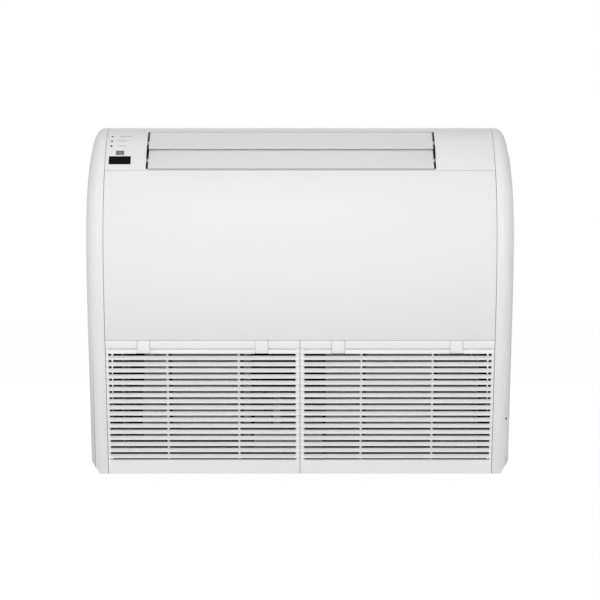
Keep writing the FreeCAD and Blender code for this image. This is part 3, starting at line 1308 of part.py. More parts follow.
def grille(x0, x1, stile_left, stile_right):
    middle = (x0 + x1) / 2
    pieces = [
        slope_block(x0, x1, rail_low, GRILLE_LENGTH, -GRILLE_RAIL_SHEET, 0),
        slope_block(x0, x1, rail_low, rail_low + SLAT_SHEET, -GRILLE_WEB, 0),
        slope_block(x0, x1, GRILLE_LENGTH - SLAT_SHEET, GRILLE_LENGTH, -GRILLE_DEPTH, 0),
        slope_block(x0, x1, 0, GRILLE_FOOT, -GRILLE_RAIL_SHEET, 0),
        slope_block(x0, x1, GRILLE_FOOT - SLAT_SHEET, GRILLE_FOOT, -GRILLE_WEB, 0),
        slope_block(x0, x0 + stile_left, 0, GRILLE_LENGTH, -GRILLE_DEPTH, -STILE_SETBACK),
        slope_block(x1 - stile_right, x1, 0, GRILLE_LENGTH, -GRILLE_DEPTH, -STILE_SETBACK),
    ]
    for step in (-1, 1):
        mullion = middle + step * MULLION_SPACING / 2
        edge = MULLION_WIDTH / 2
        ends = (GRILLE_FOOT - SLAT_SHEET / 2, rail_low + SLAT_SHEET / 2)
        pieces.append(
            slope_block(mullion - edge, mullion + edge, ends[0], ends[1], -MULLION_DEPTH, -SLAT_DEPTH)
        )
    pieces += [slat(x0, x1, index) for index in range(SLAT_COUNT)]
    pin = HINGE_LUG_GAP + HINGE_LUG
    pieces.append(rod(x0 + stile_left - TOUCH, x0 + stile_left + pin, hinge, HINGE_PIN_RADIUS))
    pieces.append(rod(x1 - stile_right - pin, x1 - stile_right + TOUCH, hinge, HINGE_PIN_RADIUS, PIN_SIDES))
    slots = []
    for step in (-1, 1):
        latch_x = middle + step * LATCH_SPACING / 2
        edge = LATCH_WIDTH / 2 + LATCH_SLOT_GAP
        low, high = LATCH_LOW - LATCH_TRAVEL - LATCH_SLOT_GAP, GRILLE_LENGTH + OVERRUN
        slots.append(slope_block(latch_x - edge, latch_x + edge, low, high, -GRILLE_RAIL_SHEET, OVERRUN))
    return join(pieces).cut(slots)


def latch(x):
    edge = LATCH_WIDTH / 2
    side_edge = edge + LATCH_GUIDE_SIDE
    guide_out = GRILLE_RAIL_SHEET + REST
    return join(
        [
            slope_block(x - edge, x + edge, LATCH_LOW, GRILLE_LENGTH, -LATCH_SHEET, 0),
            slope_block(x - edge, x + edge, LATCH_GUIDE_LOW, LATCH_GUIDE_HIGH, -guide_out, 0),
            slope_block(
                x - side_edge,
                x + side_edge,
                LATCH_GUIDE_LOW,
                LATCH_GUIDE_HIGH,
                -guide_out - LATCH_GUIDE_SHEET,
                -guide_out,
            ),
        ]
    )


def filter_frame(x0, x1):
    """Flat moulded frame with cross ribs, one holed face in the slope of the grille."""
    low, high = GRILLE_FOOT + FILTER_MARGIN, rail_low - FILTER_MARGIN
    left, right = x0 + FILTER_MARGIN, x1 - FILTER_MARGIN
    frame = slope_block(left, right, low, high, -FILTER_BACK, -GRILLE_DEPTH - REST)
    middle = (x0 + x1) / 2 + FILTER_RIB_SHIFT
    edge = FILTER_RIM / 2
    columns = [left + edge, middle - MULLION_SPACING / 2, middle + MULLION_SPACING / 2, right - edge]
    row_step = (high - low - FILTER_RIM) / FILTER_ROWS
    rows = [low + edge + index * row_step for index in range(FILTER_ROWS + 1)]
    cells = []
    for x_before, x_after in zip(columns, columns[1:]):
        for before, after in zip(rows, rows[1:]):
            cells.append(
                slope_block(x_before + edge, x_after - edge, before + edge, after - edge, -DEPTH, 0)
            )
    return frame.cut(cells)


grille_sides = {
    "left": (-PANEL_EDGE, -SEAM / 2, STILE_OUTER, STILE_INNER),
    "right": (SEAM / 2, PANEL_EDGE, STILE_INNER, STILE_OUTER),
}
for side_name, (x0, x1, stile_left, stile_right) in grille_sides.items():
    parts[side_name + "_grille"] = grille(x0, x1, stile_left, stile_right)
    parts[side_name + "_filter"] = filter_frame(x0, x1)
    for index, step in enumerate((-1, 1)):
        parts[f"{side_name}_latch_{index + 1}"] = latch((x0 + x1) / 2 + step * LATCH_SPACING / 2)

os.makedirs("parts", exist_ok=True)
for name, shape in parts.items():
    shape.exportStep("parts/" + name + ".step")
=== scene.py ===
import math
import bpy
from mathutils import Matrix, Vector


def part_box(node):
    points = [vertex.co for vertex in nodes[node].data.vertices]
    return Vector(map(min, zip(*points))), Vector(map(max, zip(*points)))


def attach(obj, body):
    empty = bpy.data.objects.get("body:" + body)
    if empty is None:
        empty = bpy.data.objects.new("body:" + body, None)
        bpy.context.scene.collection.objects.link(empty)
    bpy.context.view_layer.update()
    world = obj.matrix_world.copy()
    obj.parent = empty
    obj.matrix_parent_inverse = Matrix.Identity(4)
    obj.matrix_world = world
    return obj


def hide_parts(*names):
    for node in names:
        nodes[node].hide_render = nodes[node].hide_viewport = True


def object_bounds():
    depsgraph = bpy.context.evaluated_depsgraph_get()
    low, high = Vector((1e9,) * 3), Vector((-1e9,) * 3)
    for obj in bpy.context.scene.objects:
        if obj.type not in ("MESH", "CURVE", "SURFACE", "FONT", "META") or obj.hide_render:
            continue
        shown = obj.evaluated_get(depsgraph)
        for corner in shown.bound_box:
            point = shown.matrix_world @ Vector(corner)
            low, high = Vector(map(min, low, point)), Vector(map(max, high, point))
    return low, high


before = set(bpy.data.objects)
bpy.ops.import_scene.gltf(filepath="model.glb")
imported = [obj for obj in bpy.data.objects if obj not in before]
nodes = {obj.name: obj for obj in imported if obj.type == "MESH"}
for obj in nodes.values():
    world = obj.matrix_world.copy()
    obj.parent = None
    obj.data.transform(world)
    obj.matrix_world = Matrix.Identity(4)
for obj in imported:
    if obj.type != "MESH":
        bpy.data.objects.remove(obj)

cad_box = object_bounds()

# Pressed sheet frame: back plate, base plate, side plates, hangers, fan deck and brackets. Zinc-coated
# steel, cut and folded on a press and screwed together. The coating shows a faint spangle and is dull.
def surface(name, colour, roughness, metallic=0.0):
    """A material of one colour and finish, and its shader."""
    material = bpy.data.materials.new(name)
    material.use_nodes = True
    shader = material.node_tree.nodes["Principled BSDF"]
    shader.inputs["Base Color"].default_value = (*colour, 1)
    shader.inputs["Roughness"].default_value = roughness
    shader.inputs["Metallic"].default_value = metallic
    return material, shader


def vary(material, texture, socket, low, high):
    """Feeds a socket from a texture, spread between two values or colours."""
    tree = material.node_tree
    if isinstance(low, float):
        spread = tree.nodes.new("ShaderNodeMapRange")
        spread.inputs["To Min"].default_value = low
        spread.inputs["To Max"].default_value = high
        tree.links.new(texture.outputs[0], spread.inputs["Value"])
    else:
        spread = tree.nodes.new("ShaderNodeMix")
        spread.data_type = "RGBA"
        spread.inputs["A"].default_value = (*low, 1)
        spread.inputs["B"].default_value = (*high, 1)
        tree.links.new(texture.outputs[0], spread.inputs["Factor"])
    tree.links.new(spread.outputs["Result"], socket)


def grain(material, kind, scale, detail=2.0):
    """A texture in the piece's own coordinates."""
    tree = material.node_tree
    place = tree.nodes.new("ShaderNodeTexCoord")
    texture = tree.nodes.new(kind)
    texture.inputs["Scale"].default_value = scale
    if "Detail" in texture.inputs:
        texture.inputs["Detail"].default_value = detail
    tree.links.new(place.outputs["Object"], texture.inputs["Vector"])
    return texture


def relief(material, shader, texture, depth):
    """Raises a texture from the surface by a depth."""
    tree = material.node_tree
    bump = tree.nodes.new("ShaderNodeBump")
    bump.inputs["Strength"].default_value = 0.5
    bump.inputs["Distance"].default_value = depth
    tree.links.new(texture.outputs[0], bump.inputs["Height"])
    tree.links.new(bump.outputs["Normal"], shader.inputs["Normal"])


def dress(material, *names):
    """Puts one material on solids whose shape is kept."""
    for name in names:
        nodes[name].data.materials.clear()
        nodes[name].data.materials.append(material)


zinc, shader = surface("zinc_coated_sheet", (0.55, 0.56, 0.57), 0.45, metallic=1.0)
spangle = grain(zinc, "ShaderNodeTexVoronoi", 90.0)
vary(zinc, spangle, shader.inputs["Base Color"], (0.48, 0.49, 0.5), (0.6, 0.61, 0.62))
vary(zinc, spangle, shader.inputs["Roughness"], 0.38, 0.55)
rolling = grain(zinc, "ShaderNodeTexNoise", 700.0)
relief(zinc, shader, rolling, 0.00004)
dress(zinc, "back_plate", "base_plate", "left_side_plate", "right_side_plate")
dress(zinc, "left_hanger", "right_hanger", "fan_deck")
dress(zinc, "motor_bracket", "motor_straps", "coil_end_plates")

# Fan section: two drum wheels on one steel shaft inside moulded scrolls. The scrolls are moulded in a
# front and a rear half of light grey plastic, the wheels in black, all with a fine grain.
def moulded(name, colour, roughness, spread=0.05, grain_scale=900.0, depth=0.00008, specular=0.5):
    """Moulded plastic or foam: faint clouds in its colour, a fine grain in its gloss and relief."""
    material, shader = surface(name, colour, roughness)
    shader.inputs["Specular IOR Level"].default_value = specular
    dark = [value * (1 - spread) for value in colour]
    pale = [min(1.0, value * (1 + spread)) for value in colour]
    cloud_scale, cloud_detail, fine_detail = 14.0, 3.0, 1.0
    cloud = grain(material, "ShaderNodeTexNoise", cloud_scale, cloud_detail)
    vary(material, cloud, shader.inputs["Base Color"], dark, pale)
    fine = grain(material, "ShaderNodeTexNoise", grain_scale, fine_detail)
    glossiest, dullest = roughness - 0.06, roughness + 0.08
    vary(material, fine, shader.inputs["Roughness"], glossiest, dullest)
    relief(material, shader, fine, depth)
    return material


scroll_grey = moulded("scroll_grey", (0.62, 0.62, 0.63), 0.5)
dress(scroll_grey, "left_scroll_front", "left_scroll_rear", "right_scroll_front", "right_scroll_rear")
wheel_black = moulded("wheel_black", (0.05, 0.05, 0.055), 0.5)
dress(wheel_black, "left_fan_wheel", "right_fan_wheel")
ground_steel, shader = surface("ground_steel", (0.6, 0.6, 0.61), 0.3, metallic=1.0)
rings = grain(ground_steel, "ShaderNodeTexNoise", 400.0)
vary(ground_steel, rings, shader.inputs["Roughness"], 0.22, 0.4)
dress(ground_steel, "fan_shaft")

# Fan motor: a round case of two deep-drawn steel cups with a bearing nose at each end, painted dark grey.
# It lies on the bracket shelf under the two straps.
def select_faces(piece, wanted):
    """Edit mode with only the faces picked whose centre and normal satisfy the test."""
    bpy.ops.object.mode_set(mode="EDIT")
    bpy.ops.mesh.select_mode(type="FACE")
    bpy.ops.mesh.select_all(action="DESELECT")
    bpy.ops.object.mode_set(mode="OBJECT")
    for face in piece.data.polygons:
        face.select = wanted(face.center, face.normal)
    bpy.ops.object.mode_set(mode="EDIT")


def settle(piece, name):
    """Object mode, with the piece's place and turn put into its mesh."""
    bpy.ops.object.mode_set(mode="OBJECT")
    bpy.ops.object.transform_apply(location=True, rotation=True, scale=True)
    piece.name = name
    piece.data.name = name


def round_edges(piece, width, sharp_angle, clamp=True):
    """Rounds the edges that are sharper than an angle in degrees, and shades the curves smooth."""
    rounding = piece.modifiers.new("rounding", "BEVEL")
    rounding.width = width
    rounding.segments = 3
    rounding.limit_method = "ANGLE"
    rounding.angle_limit = math.radians(sharp_angle)
    rounding.use_clamp_overlap = clamp
    bpy.ops.object.modifier_apply(modifier=rounding.name)
    bpy.ops.object.shade_smooth_by_angle(angle=math.radians(35))


motor_low, motor_high = (Vector(corner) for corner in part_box("fan_motor"))
motor_centre = (motor_low + motor_high) / 2
case_radius, case_length = 0.0406, 0.070
nose_radius, nose_length = 0.013, 0.014
bpy.ops.object.select_all(action="DESELECT")
bpy.ops.mesh.primitive_cylinder_add(
    vertices=72, radius=case_radius, depth=case_length, location=motor_centre
)
motor = bpy.context.object
motor.rotation_euler = (0, math.pi / 2, 0)
cup_rim, cup_dish, cup_edge = 0.007, 0.002, 0.0022
nose_reach = nose_length + cup_dish
facing, end_slack = 0.9, 0.0001
for end in (-1, 1):
    select_faces(
        motor,
        lambda centre, normal: normal.z * end > facing and abs(centre.z) > case_length / 2 - end_slack,
    )
    bpy.ops.mesh.inset(thickness=cup_rim)
    bpy.ops.transform.translate(value=(-end * cup_dish, 0, 0))
    bpy.ops.mesh.inset(thickness=case_radius - cup_rim - nose_radius)
    bpy.ops.mesh.extrude_region_move(TRANSFORM_OT_translate={"value": (end * nose_reach, 0, 0)})
settle(motor, "motor_case")
round_edges(motor, cup_edge, sharp_angle=40)
case_paint = moulded("motor_case_paint", (0.1, 0.1, 0.11), 0.4, spread=0.08, grain_scale=300.0)
motor.data.materials.append(case_paint)
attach(motor, "cabinet")
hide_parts("fan_motor")

# Chamber shade: thin sheets of black foam glued inside the back plate and on the base plate of the fan
# chamber, and one baffle strip on edge outside each side plate. Their black is painted shade for the dark
# inside of the chamber, and the baffles also close the open slot between each side plate and end cover. They
# stop short of the motor bracket, and the base sheets end behind the room that the grilles swing in.
def rounded_slab(name, centre, size, edge, tilt=0.0):
    """A flat slab with small rounded edges, turned about X by a tilt."""
    bpy.ops.object.select_all(action="DESELECT")
    bpy.ops.mesh.primitive_cube_add(size=1, location=centre)
    slab = bpy.context.object
    slab.scale = size
    slab.rotation_euler = (tilt, 0, 0)
    bpy.ops.object.transform_apply(location=True, rotation=True, scale=True)
    bpy.ops.object.mode_set(mode="EDIT")
    bpy.ops.mesh.select_all(action="SELECT")
    bpy.ops.mesh.bevel(offset=edge, segments=2)
    settle(slab, name)
    return slab


lining_sheet, lining_gap, lining_round = 0.0012, 0.001, 0.0003
# Nearly black: painted shade for the dark inside of the fan chamber.
chamber_painted_shade = moulded(
    "chamber_painted_shade", (0.012, 0.012, 0.012), 0.85, spread=0.15, grain_scale=500.0, depth=0.0003, specular=0.1
)
bracket_low, bracket_high = (Vector(corner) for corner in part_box("motor_bracket"))
plate_low, plate_high = (Vector(corner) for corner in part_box("left_side_plate"))
base_low, base_high = (Vector(corner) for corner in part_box("base_plate"))
deck_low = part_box("fan_deck")[0][2] - lining_gap
box_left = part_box("control_box_cover")[0][0] - lining_gap
chamber_left = plate_high.x + lining_gap
bracket_left, bracket_right = bracket_low.x - lining_gap, bracket_high.x + lining_gap
bracket_top = bracket_high.z + lining_gap
back_rear, back_lift = -0.0015, 0.002
back_front, back_foot = back_rear - lining_sheet, bracket_low.z + back_lift
base_rear, grille_room = -0.004, 0.040
base_front, base_foot = base_low.y + grille_room, bracket_low.z
base_top = base_foot + lining_sheet
baffle_front, baffle_width = -0.060, 0.026
baffle_rear, baffle_foot = baffle_front + lining_sheet, base_high.z + lining_gap
lining_sheets = {
    "back_lining_1": ((chamber_left, back_front, back_foot), (bracket_left, back_rear, deck_low)),
    "back_lining_2": ((bracket_right, back_front, back_foot), (box_left, back_rear, deck_low)),
    "back_lining_3": ((bracket_left, back_front, bracket_top), (bracket_right, back_rear, deck_low)),
    "base_lining_1": ((chamber_left, base_front, base_foot), (bracket_left, base_rear, base_top)),
    "base_lining_2": ((bracket_right, base_front, base_foot), (-chamber_left, base_rear, base_top)),
    "left_baffle": (
        (plate_low.x - baffle_width, baffle_front, baffle_foot),
        (plate_low.x, baffle_rear, deck_low),
    ),
    "right_baffle": (
        (-plate_low.x, baffle_front, baffle_foot),
        (-plate_low.x + baffle_width, baffle_rear, deck_low),
    ),
}
for name, (low, high) in lining_sheets.items():
    centre = [(a + b) / 2 for a, b in zip(low, high)]
    size = [b - a for a, b in zip(low, high)]
    sheet = rounded_slab(name, centre, size, lining_round)
    sheet.data.materials.append(chamber_painted_shade)
    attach(sheet, "cabinet")

# Coil: thin aluminium fins pressed on copper tubes, with brazed return bends, two end plates and two brass
# flare nuts. One fin is cut to the pack's slant and repeated along the tubes.
def merged_copy(node, name, flat_angle=0.5):
    """A new piece from a solid's mesh, with its points merged and its flat faces whole."""
    bpy.ops.object.select_all(action="DESELECT")
    piece = bpy.data.objects.new(name, nodes[node].data.copy())
    bpy.context.scene.collection.objects.link(piece)
    bpy.context.view_layer.objects.active = piece
    piece.select_set(True)
    bpy.ops.object.mode_set(mode="EDIT")
    bpy.ops.mesh.select_all(action="SELECT")
    bpy.ops.mesh.remove_doubles(threshold=0.00001)
    bpy.ops.mesh.dissolve_limited(angle_limit=math.radians(flat_angle))
    bpy.ops.object.mode_set(mode="OBJECT")
    return piece


def repeat(piece, step, count):
    """Copies of a piece at even steps, in its one mesh."""
    rows = piece.modifiers.new("rows", "ARRAY")
    rows.use_relative_offset = False
    rows.use_constant_offset = True
    rows.constant_offset_displace = step
    rows.count = count
    bpy.ops.object.modifier_apply(modifier=rows.name)


fin_thickness, fin_pitch = 0.0003, 0.0024
fin_low, fin_high = (Vector(corner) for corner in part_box("coil_fins"))
fin_stack = merged_copy("coil_fins", "fin_stack", flat_angle=1.0)
for corner in fin_stack.data.vertices:
    corner.co.x = fin_low.x if corner.co.x < 0 else fin_low.x + fin_thickness
fin_count = int((fin_high.x - fin_low.x - fin_thickness) / fin_pitch) + 1
repeat(fin_stack, (fin_pitch, 0, 0), fin_count)
fin_metal, shader = surface("fin_metal", (0.7, 0.71, 0.73), 0.35, metallic=1.0)
draw_marks = grain(fin_metal, "ShaderNodeTexNoise", 220.0, detail=3.0)
vary(fin_metal, draw_marks, shader.inputs["Base Color"], (0.6, 0.61, 0.63), (0.78, 0.79, 0.8))
vary(fin_metal, draw_marks, shader.inputs["Roughness"], 0.28, 0.45)
fin_stack.data.materials.clear()
fin_stack.data.materials.append(fin_metal)
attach(fin_stack, "cabinet")
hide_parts("coil_fins")

copper, shader = surface("drawn_copper", (0.75, 0.38, 0.23), 0.35, metallic=1.0)
tarnish = grain(copper, "ShaderNodeTexNoise", 60.0, detail=4.0)
vary(copper, tarnish, shader.inputs["Base Color"], (0.5, 0.23, 0.14), (0.8, 0.42, 0.27))
vary(copper, tarnish, shader.inputs["Roughness"], 0.25, 0.5)
dress(copper, "return_bends", "gas_pipe", "liquid_pipe")
brass, shader = surface("turned_brass", (0.75, 0.55, 0.25), 0.3, metallic=1.0)
tooling = grain(brass, "ShaderNodeTexNoise", 500.0)
vary(brass, tooling, shader.inputs["Roughness"], 0.22, 0.42)
dress(brass, "flare_nuts")

# Drain pan: one white trough of hard foam on the fan deck, under the foot of the coil, with a spout at the
# right end. It is moulded in one piece with a thin skin.
pan_foam = moulded("pan_foam", (0.72, 0.72, 0.73), 0.7, grain_scale=250.0, depth=0.0004)
dress(pan_foam, "drain_pan")

# Control box: grey moulded box and cover beside the right scroll, with a green circuit board inside and the
# pale terminal block on the cover. The display's board has the same finish.
box_grey = moulded("box_grey", (0.3, 0.3, 0.3), 0.5)
dress(box_grey, "control_box", "control_box_cover")
board_green, shader = surface("board_green", (0.03, 0.16, 0.06), 0.35)
tracks = grain(board_green, "ShaderNodeTexVoronoi", 260.0)
vary(board_green, tracks, shader.inputs["Base Color"], (0.02, 0.12, 0.04), (0.05, 0.22, 0.09))
dress(board_green, "control_board", "display_board")
terminal_pale = moulded("terminal_pale", (0.6, 0.58, 0.52), 0.45)
dress(terminal_pale, "terminal_block")

# Cover and terminal screws: cross-recess pan heads, cold headed from steel wire and zinc plated. Four hold
# the control box cover at its corners and five clamp the wires of the terminal block.
screw_radius, screw_height = 0.0032, 0.0022
head_round = screw_height * 0.45
recess_length, recess_width, recess_depth = screw_radius * 1.1, 0.0010, 0.0012
bpy.ops.object.select_all(action="DESELECT")
bpy.ops.mesh.primitive_cylinder_add(vertices=20, radius=screw_radius, depth=screw_height)
screw_head = bpy.context.object
select_faces(screw_head, lambda centre, normal: normal.z > facing)
bpy.ops.mesh.bevel(offset=head_round, segments=3)
bpy.ops.object.mode_set(mode="OBJECT")
for turn in (0, math.pi / 2):
    bpy.ops.object.select_all(action="DESELECT")
    bpy.ops.mesh.primitive_cube_add(size=1, location=(0, 0, screw_height / 2))
    cutter = bpy.context.object
    cutter.scale = (recess_length, recess_width, recess_depth * 2)
    cutter.rotation_euler = (0, 0, turn)
    bpy.ops.object.transform_apply(location=True, rotation=True, scale=True)
    bpy.ops.object.select_all(action="DESELECT")
    screw_head.select_set(True)
    bpy.context.view_layer.objects.active = screw_head
    recess = screw_head.modifiers.new("recess", "BOOLEAN")
    recess.operation = "DIFFERENCE"
    recess.object = cutter
    bpy.ops.object.modifier_apply(modifier=recess.name)
    bpy.data.objects.remove(cutter)
bpy.ops.object.shade_smooth_by_angle(angle=math.radians(40))
bpy.ops.object.transform_apply(location=True, rotation=True, scale=True)
plated, shader = surface("plated_screw", (0.62, 0.62, 0.6), 0.3, metallic=1.0)
plating = grain(plated, "ShaderNodeTexNoise", 900.0)
vary(plated, plating, shader.inputs["Roughness"], 0.22, 0.42)
screw_head.data.materials.append(plated)
cover_low, cover_high = (Vector(corner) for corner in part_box("control_box_cover"))
block_low, block_high = (Vector(corner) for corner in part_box("terminal_block"))
screw_inset = 0.0065
screw_places = [
    (x, cover_low.y, z)
    for x in (cover_low.x + screw_inset, cover_high.x - screw_inset)
    for z in (cover_low.z + screw_inset, cover_high.z - screw_inset)
]
terminal_count = 5
terminal_pitch = (block_high.x - block_low.x) / terminal_count
screw_places += [
    (block_low.x + terminal_pitch * (index + 0.5), block_low.y, (block_low.z + block_high.z) / 2)
    for index in range(terminal_count)
]
for index, place in enumerate(screw_places):
    screw = bpy.data.objects.new(f"screw_{index + 1}", screw_head.data.copy())
    bpy.context.scene.collection.objects.link(screw)
    bpy.ops.object.select_all(action="DESELECT")
    screw.select_set(True)
    bpy.context.view_layer.objects.active = screw
    screw.rotation_euler = (math.pi / 2, 0, 0)
    screw.location = (place[0], place[1] - screw_height / 2, place[2])
    bpy.ops.object.transform_apply(location=True, rotation=True, scale=True)
    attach(screw, "cabinet")
bpy.data.objects.remove(screw_head)

# Outlet duct and vanes: grey plastic mouldings behind the louvers, the vanes joined by link bars. Two small
# geared louver motors in painted cases sit on the right wall of the duct.
duct_grey = moulded("duct_grey", (0.42, 0.42, 0.43), 0.5)
vanes = [f"{side}_vane_{index}" for side in ("left", "right") for index in (1, 2, 3, 4)]
dress(duct_grey, "outlet_duct", "left_vane_link", "right_vane_link", *vanes)
dress(case_paint, "upper_louver_motor", "lower_louver_motor")

# Cabinet shells: end covers, front panel and top panel. White styrene, injection moulded, with a very fine
# satin grain and edges rounded by the mould. They clip to the frame and meet in narrow grooves.
def satin_white(name, white):
    """White styrene of a given paleness, with a fine satin grain."""
    return moulded(
        name, (white, white, white), 0.56, spread=0.008, grain_scale=1400.0, depth=0.00003, specular=0.3
    )


def finish_shell(piece, material, body, node, edge):
    """Rounds the moulded edges, dresses the piece and puts it in the solid's place."""
    round_edges(piece, edge, sharp_angle=50, clamp=False)
    piece.data.materials.clear()
    piece.data.materials.append(material)
    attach(piece, body)
    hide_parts(node)


cabinet_white = satin_white("cabinet_white", 0.84)
shell_edge = 0.0006
half_width, half_height = cad_box[1][0], cad_box[1][2]
cover_round, wall_rounding = 0.026, 0.010
top_round = 0.130
top_centre, face_centre = (0.0746, half_height - top_round), (-0.022, 0.1305)
arcs_meet = 42.0
roundings = [
    (0.0, cover_round),
    (18.0, 0.028),
    (30.0, 0.040),
    (54.0, 0.066),
    (79.0, 0.060),
    (90.0, 0.044),
]


def corner_rounding(angle):
    """Depth of the end cover's rounding at an angle of the front, from level to upright."""
    for (before, low), (after, high) in zip(roundings, roundings[1:]):
        if angle <= after:
            return low + (high - low) * max(0.0, angle - before) / (after - before)
    return roundings[-1][1]


def reshape_corner(cover):
    """Widens the rounding of an end cover along its top curve and narrows it at the wall."""
    for point in cover.data.vertices:
        share = min(1.0, max(0.0, (abs(point.co.x) - half_width + cover_round) / cover_round))
        depth, height = -point.co.y, point.co.z
        if share == 0.0 or height < face_centre[1]:
            continue
        if depth < top_centre[0]:
            inward = Vector((0, -1))
            rounding = wall_rounding + (roundings[-1][1] - wall_rounding) * depth / top_centre[0]
        else:
            centre = Vector(top_centre)
            angle = math.degrees(math.atan2(height - centre[1], depth - centre[0]))
            if angle < arcs_meet:
                centre = Vector(face_centre)
                angle = math.degrees(math.atan2(height - centre[1], depth - centre[0]))
            rounding = corner_rounding(angle)
            inward = (centre - Vector((depth, height))).normalized()
        shift = (rounding - cover_round) * (1 - math.sqrt(1 - share * share))
        point.co.y -= inward[0] * shift
        point.co.z += inward[1] * shift


for side in ("left", "right"):
    cover = merged_copy(f"{side}_end_cover", f"{side}_end_shell")
    reshape_corner(cover)
    finish_shell(cover, cabinet_white, "cabinet", f"{side}_end_cover", shell_edge)
front_shell = merged_copy("front_panel", "front_shell")
finish_shell(front_shell, cabinet_white, "cabinet", "front_panel", shell_edge)
top_shell = merged_copy("top_panel", "top_shell")
finish_shell(top_shell, cabinet_white, "cabinet", "top_panel", shell_edge)
dress(cabinet_white, "pipe_knockout_cover")

# Side plug: a small black plastic button set in the rounding of the right end cover, above the knock-out. It
# is moulded and stands out a little from the white.
plug_radius, plug_length, plug_rise = 0.0024, 0.0016, 0.0003
plug_place = Vector((0.4096, -0.1455, -0.2356))
plug_facing = Vector((0.66, -0.72, -0.21)).normalized()
bpy.ops.object.select_all(action="DESELECT")
bpy.ops.mesh.primitive_cylinder_add(vertices=24, radius=plug_radius, depth=plug_length)
plug = bpy.context.object
select_faces(plug, lambda centre, normal: normal.z > facing)
bpy.ops.mesh.bevel(offset=plug_rise, segments=2)
bpy.ops.object.mode_set(mode="OBJECT")
plug.rotation_euler = plug_facing.to_track_quat("Z", "Y").to_euler()
plug.location = plug_place + plug_facing * (plug_rise - plug_length / 2)
settle(plug, "side_plug")
plug_black = moulded("plug_black", (0.02, 0.02, 0.02), 0.6)
plug.data.materials.append(plug_black)
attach(plug, "cabinet")

# Groove shadows: thin strips stuck to the inner edge of each end cover and to the left grille, just below
# the surface of the upright grooves. Their black and grey are painted shadow for the depth of the narrow
# grooves. Each is cut to the edge that it lies beside. Those beside the top panel are grey, the others
# nearly black.
shadow_thickness, shadow_gap, shadow_sink = 0.0007, 0.00005, 0.003
# Nearly black and grey: painted shadow inside the grooves.
groove_painted_shadow = moulded(
    "groove_painted_shadow", (0.03, 0.03, 0.03), 0.8, spread=0.1, grain_scale=600.0, depth=0.0002, specular=0.1
)
groove_painted_shade_grey = moulded("groove_painted_shade_grey", (0.3, 0.3, 0.3), 0.8, spread=0.1, grain_scale=600.0, depth=0.0002)
groove_shadows = [("middle_groove_shadow", "left_grille", 1, "left_grille")]
for side, outward in (("left", -1), ("right", 1)):
    groove_shadows.append((f"{side}_groove_shadow_front", "front_panel", outward, "cabinet"))
    groove_shadows.append((f"{side}_groove_shadow_top", "top_panel", outward, "cabinet"))
    groove_shadows.append((f"{side}_groove_shadow_grille", f"{side}_grille", outward, "cabinet"))
for name, edge_node, outward, body in groove_shadows:
    shadow_strip = merged_copy(edge_node, name)
    low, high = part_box(edge_node)
    edge = low[0] if outward < 0 else high[0]
    bpy.ops.object.mode_set(mode="EDIT")
    bpy.ops.mesh.select_all(action="SELECT")
    bpy.ops.mesh.bisect(
        plane_co=(edge - outward * shadow_thickness, 0, 0),
        plane_no=(outward, 0, 0),
        use_fill=True,
        clear_inner=True,
    )
    bpy.ops.mesh.select_all(action="SELECT")
    bpy.ops.transform.resize(value=(1, 1 - shadow_sink, 1 - shadow_sink / 3), center_override=(0, 0, 0))
    bpy.ops.transform.translate(value=(outward * (shadow_thickness + shadow_gap), 0, 0))
    settle(shadow_strip, name)
    shadow_strip.data.materials.clear()
    shadow_strip.data.materials.append(groove_painted_shade_grey if edge_node == "top_panel" else groove_painted_shadow)
    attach(shadow_strip, body)

# Display: smoked receiver window, grey push button and three dark lamp lenses. All are moulded in plastic
# and set in openings of the top panel.
smoked, shader = surface("smoked_window", (0.004, 0.004, 0.005), 0.3)
shader.inputs["Specular IOR Level"].default_value = 0.05
haze = grain(smoked, "ShaderNodeTexNoise", 300.0)
vary(smoked, haze, shader.inputs["Roughness"], 0.25, 0.36)
dress(smoked, "receiver_window")
button_grey = moulded("button_grey", (0.19, 0.19, 0.19), 0.5)
dress(button_grey, "mode_button")
lamp_dark, shader = surface("lamp_dark", (0.004, 0.004, 0.004), 0.4)
shader.inputs["Specular IOR Level"].default_value = 0.1
lens_haze = grain(lamp_dark, "ShaderNodeTexNoise", 500.0)
vary(lamp_dark, lens_haze, shader.inputs["Roughness"], 0.35, 0.5)
dress(lamp_dark, "lamp_lenses")

# Marks beside the lamps: three short plain bars with rounded corners, pad printed in grey ink on the top
# panel. Each is a thin film that follows the slope of the panel.
def spot_on_top(x, level):
    """Place, normal and slope of the top panel's face, straight behind a point in front of it."""
    _, spot, normal, _ = top_shell.ray_cast((x, -1, level), (0, 1, 0))
    return spot, normal, math.atan2(-normal.y, normal.z)


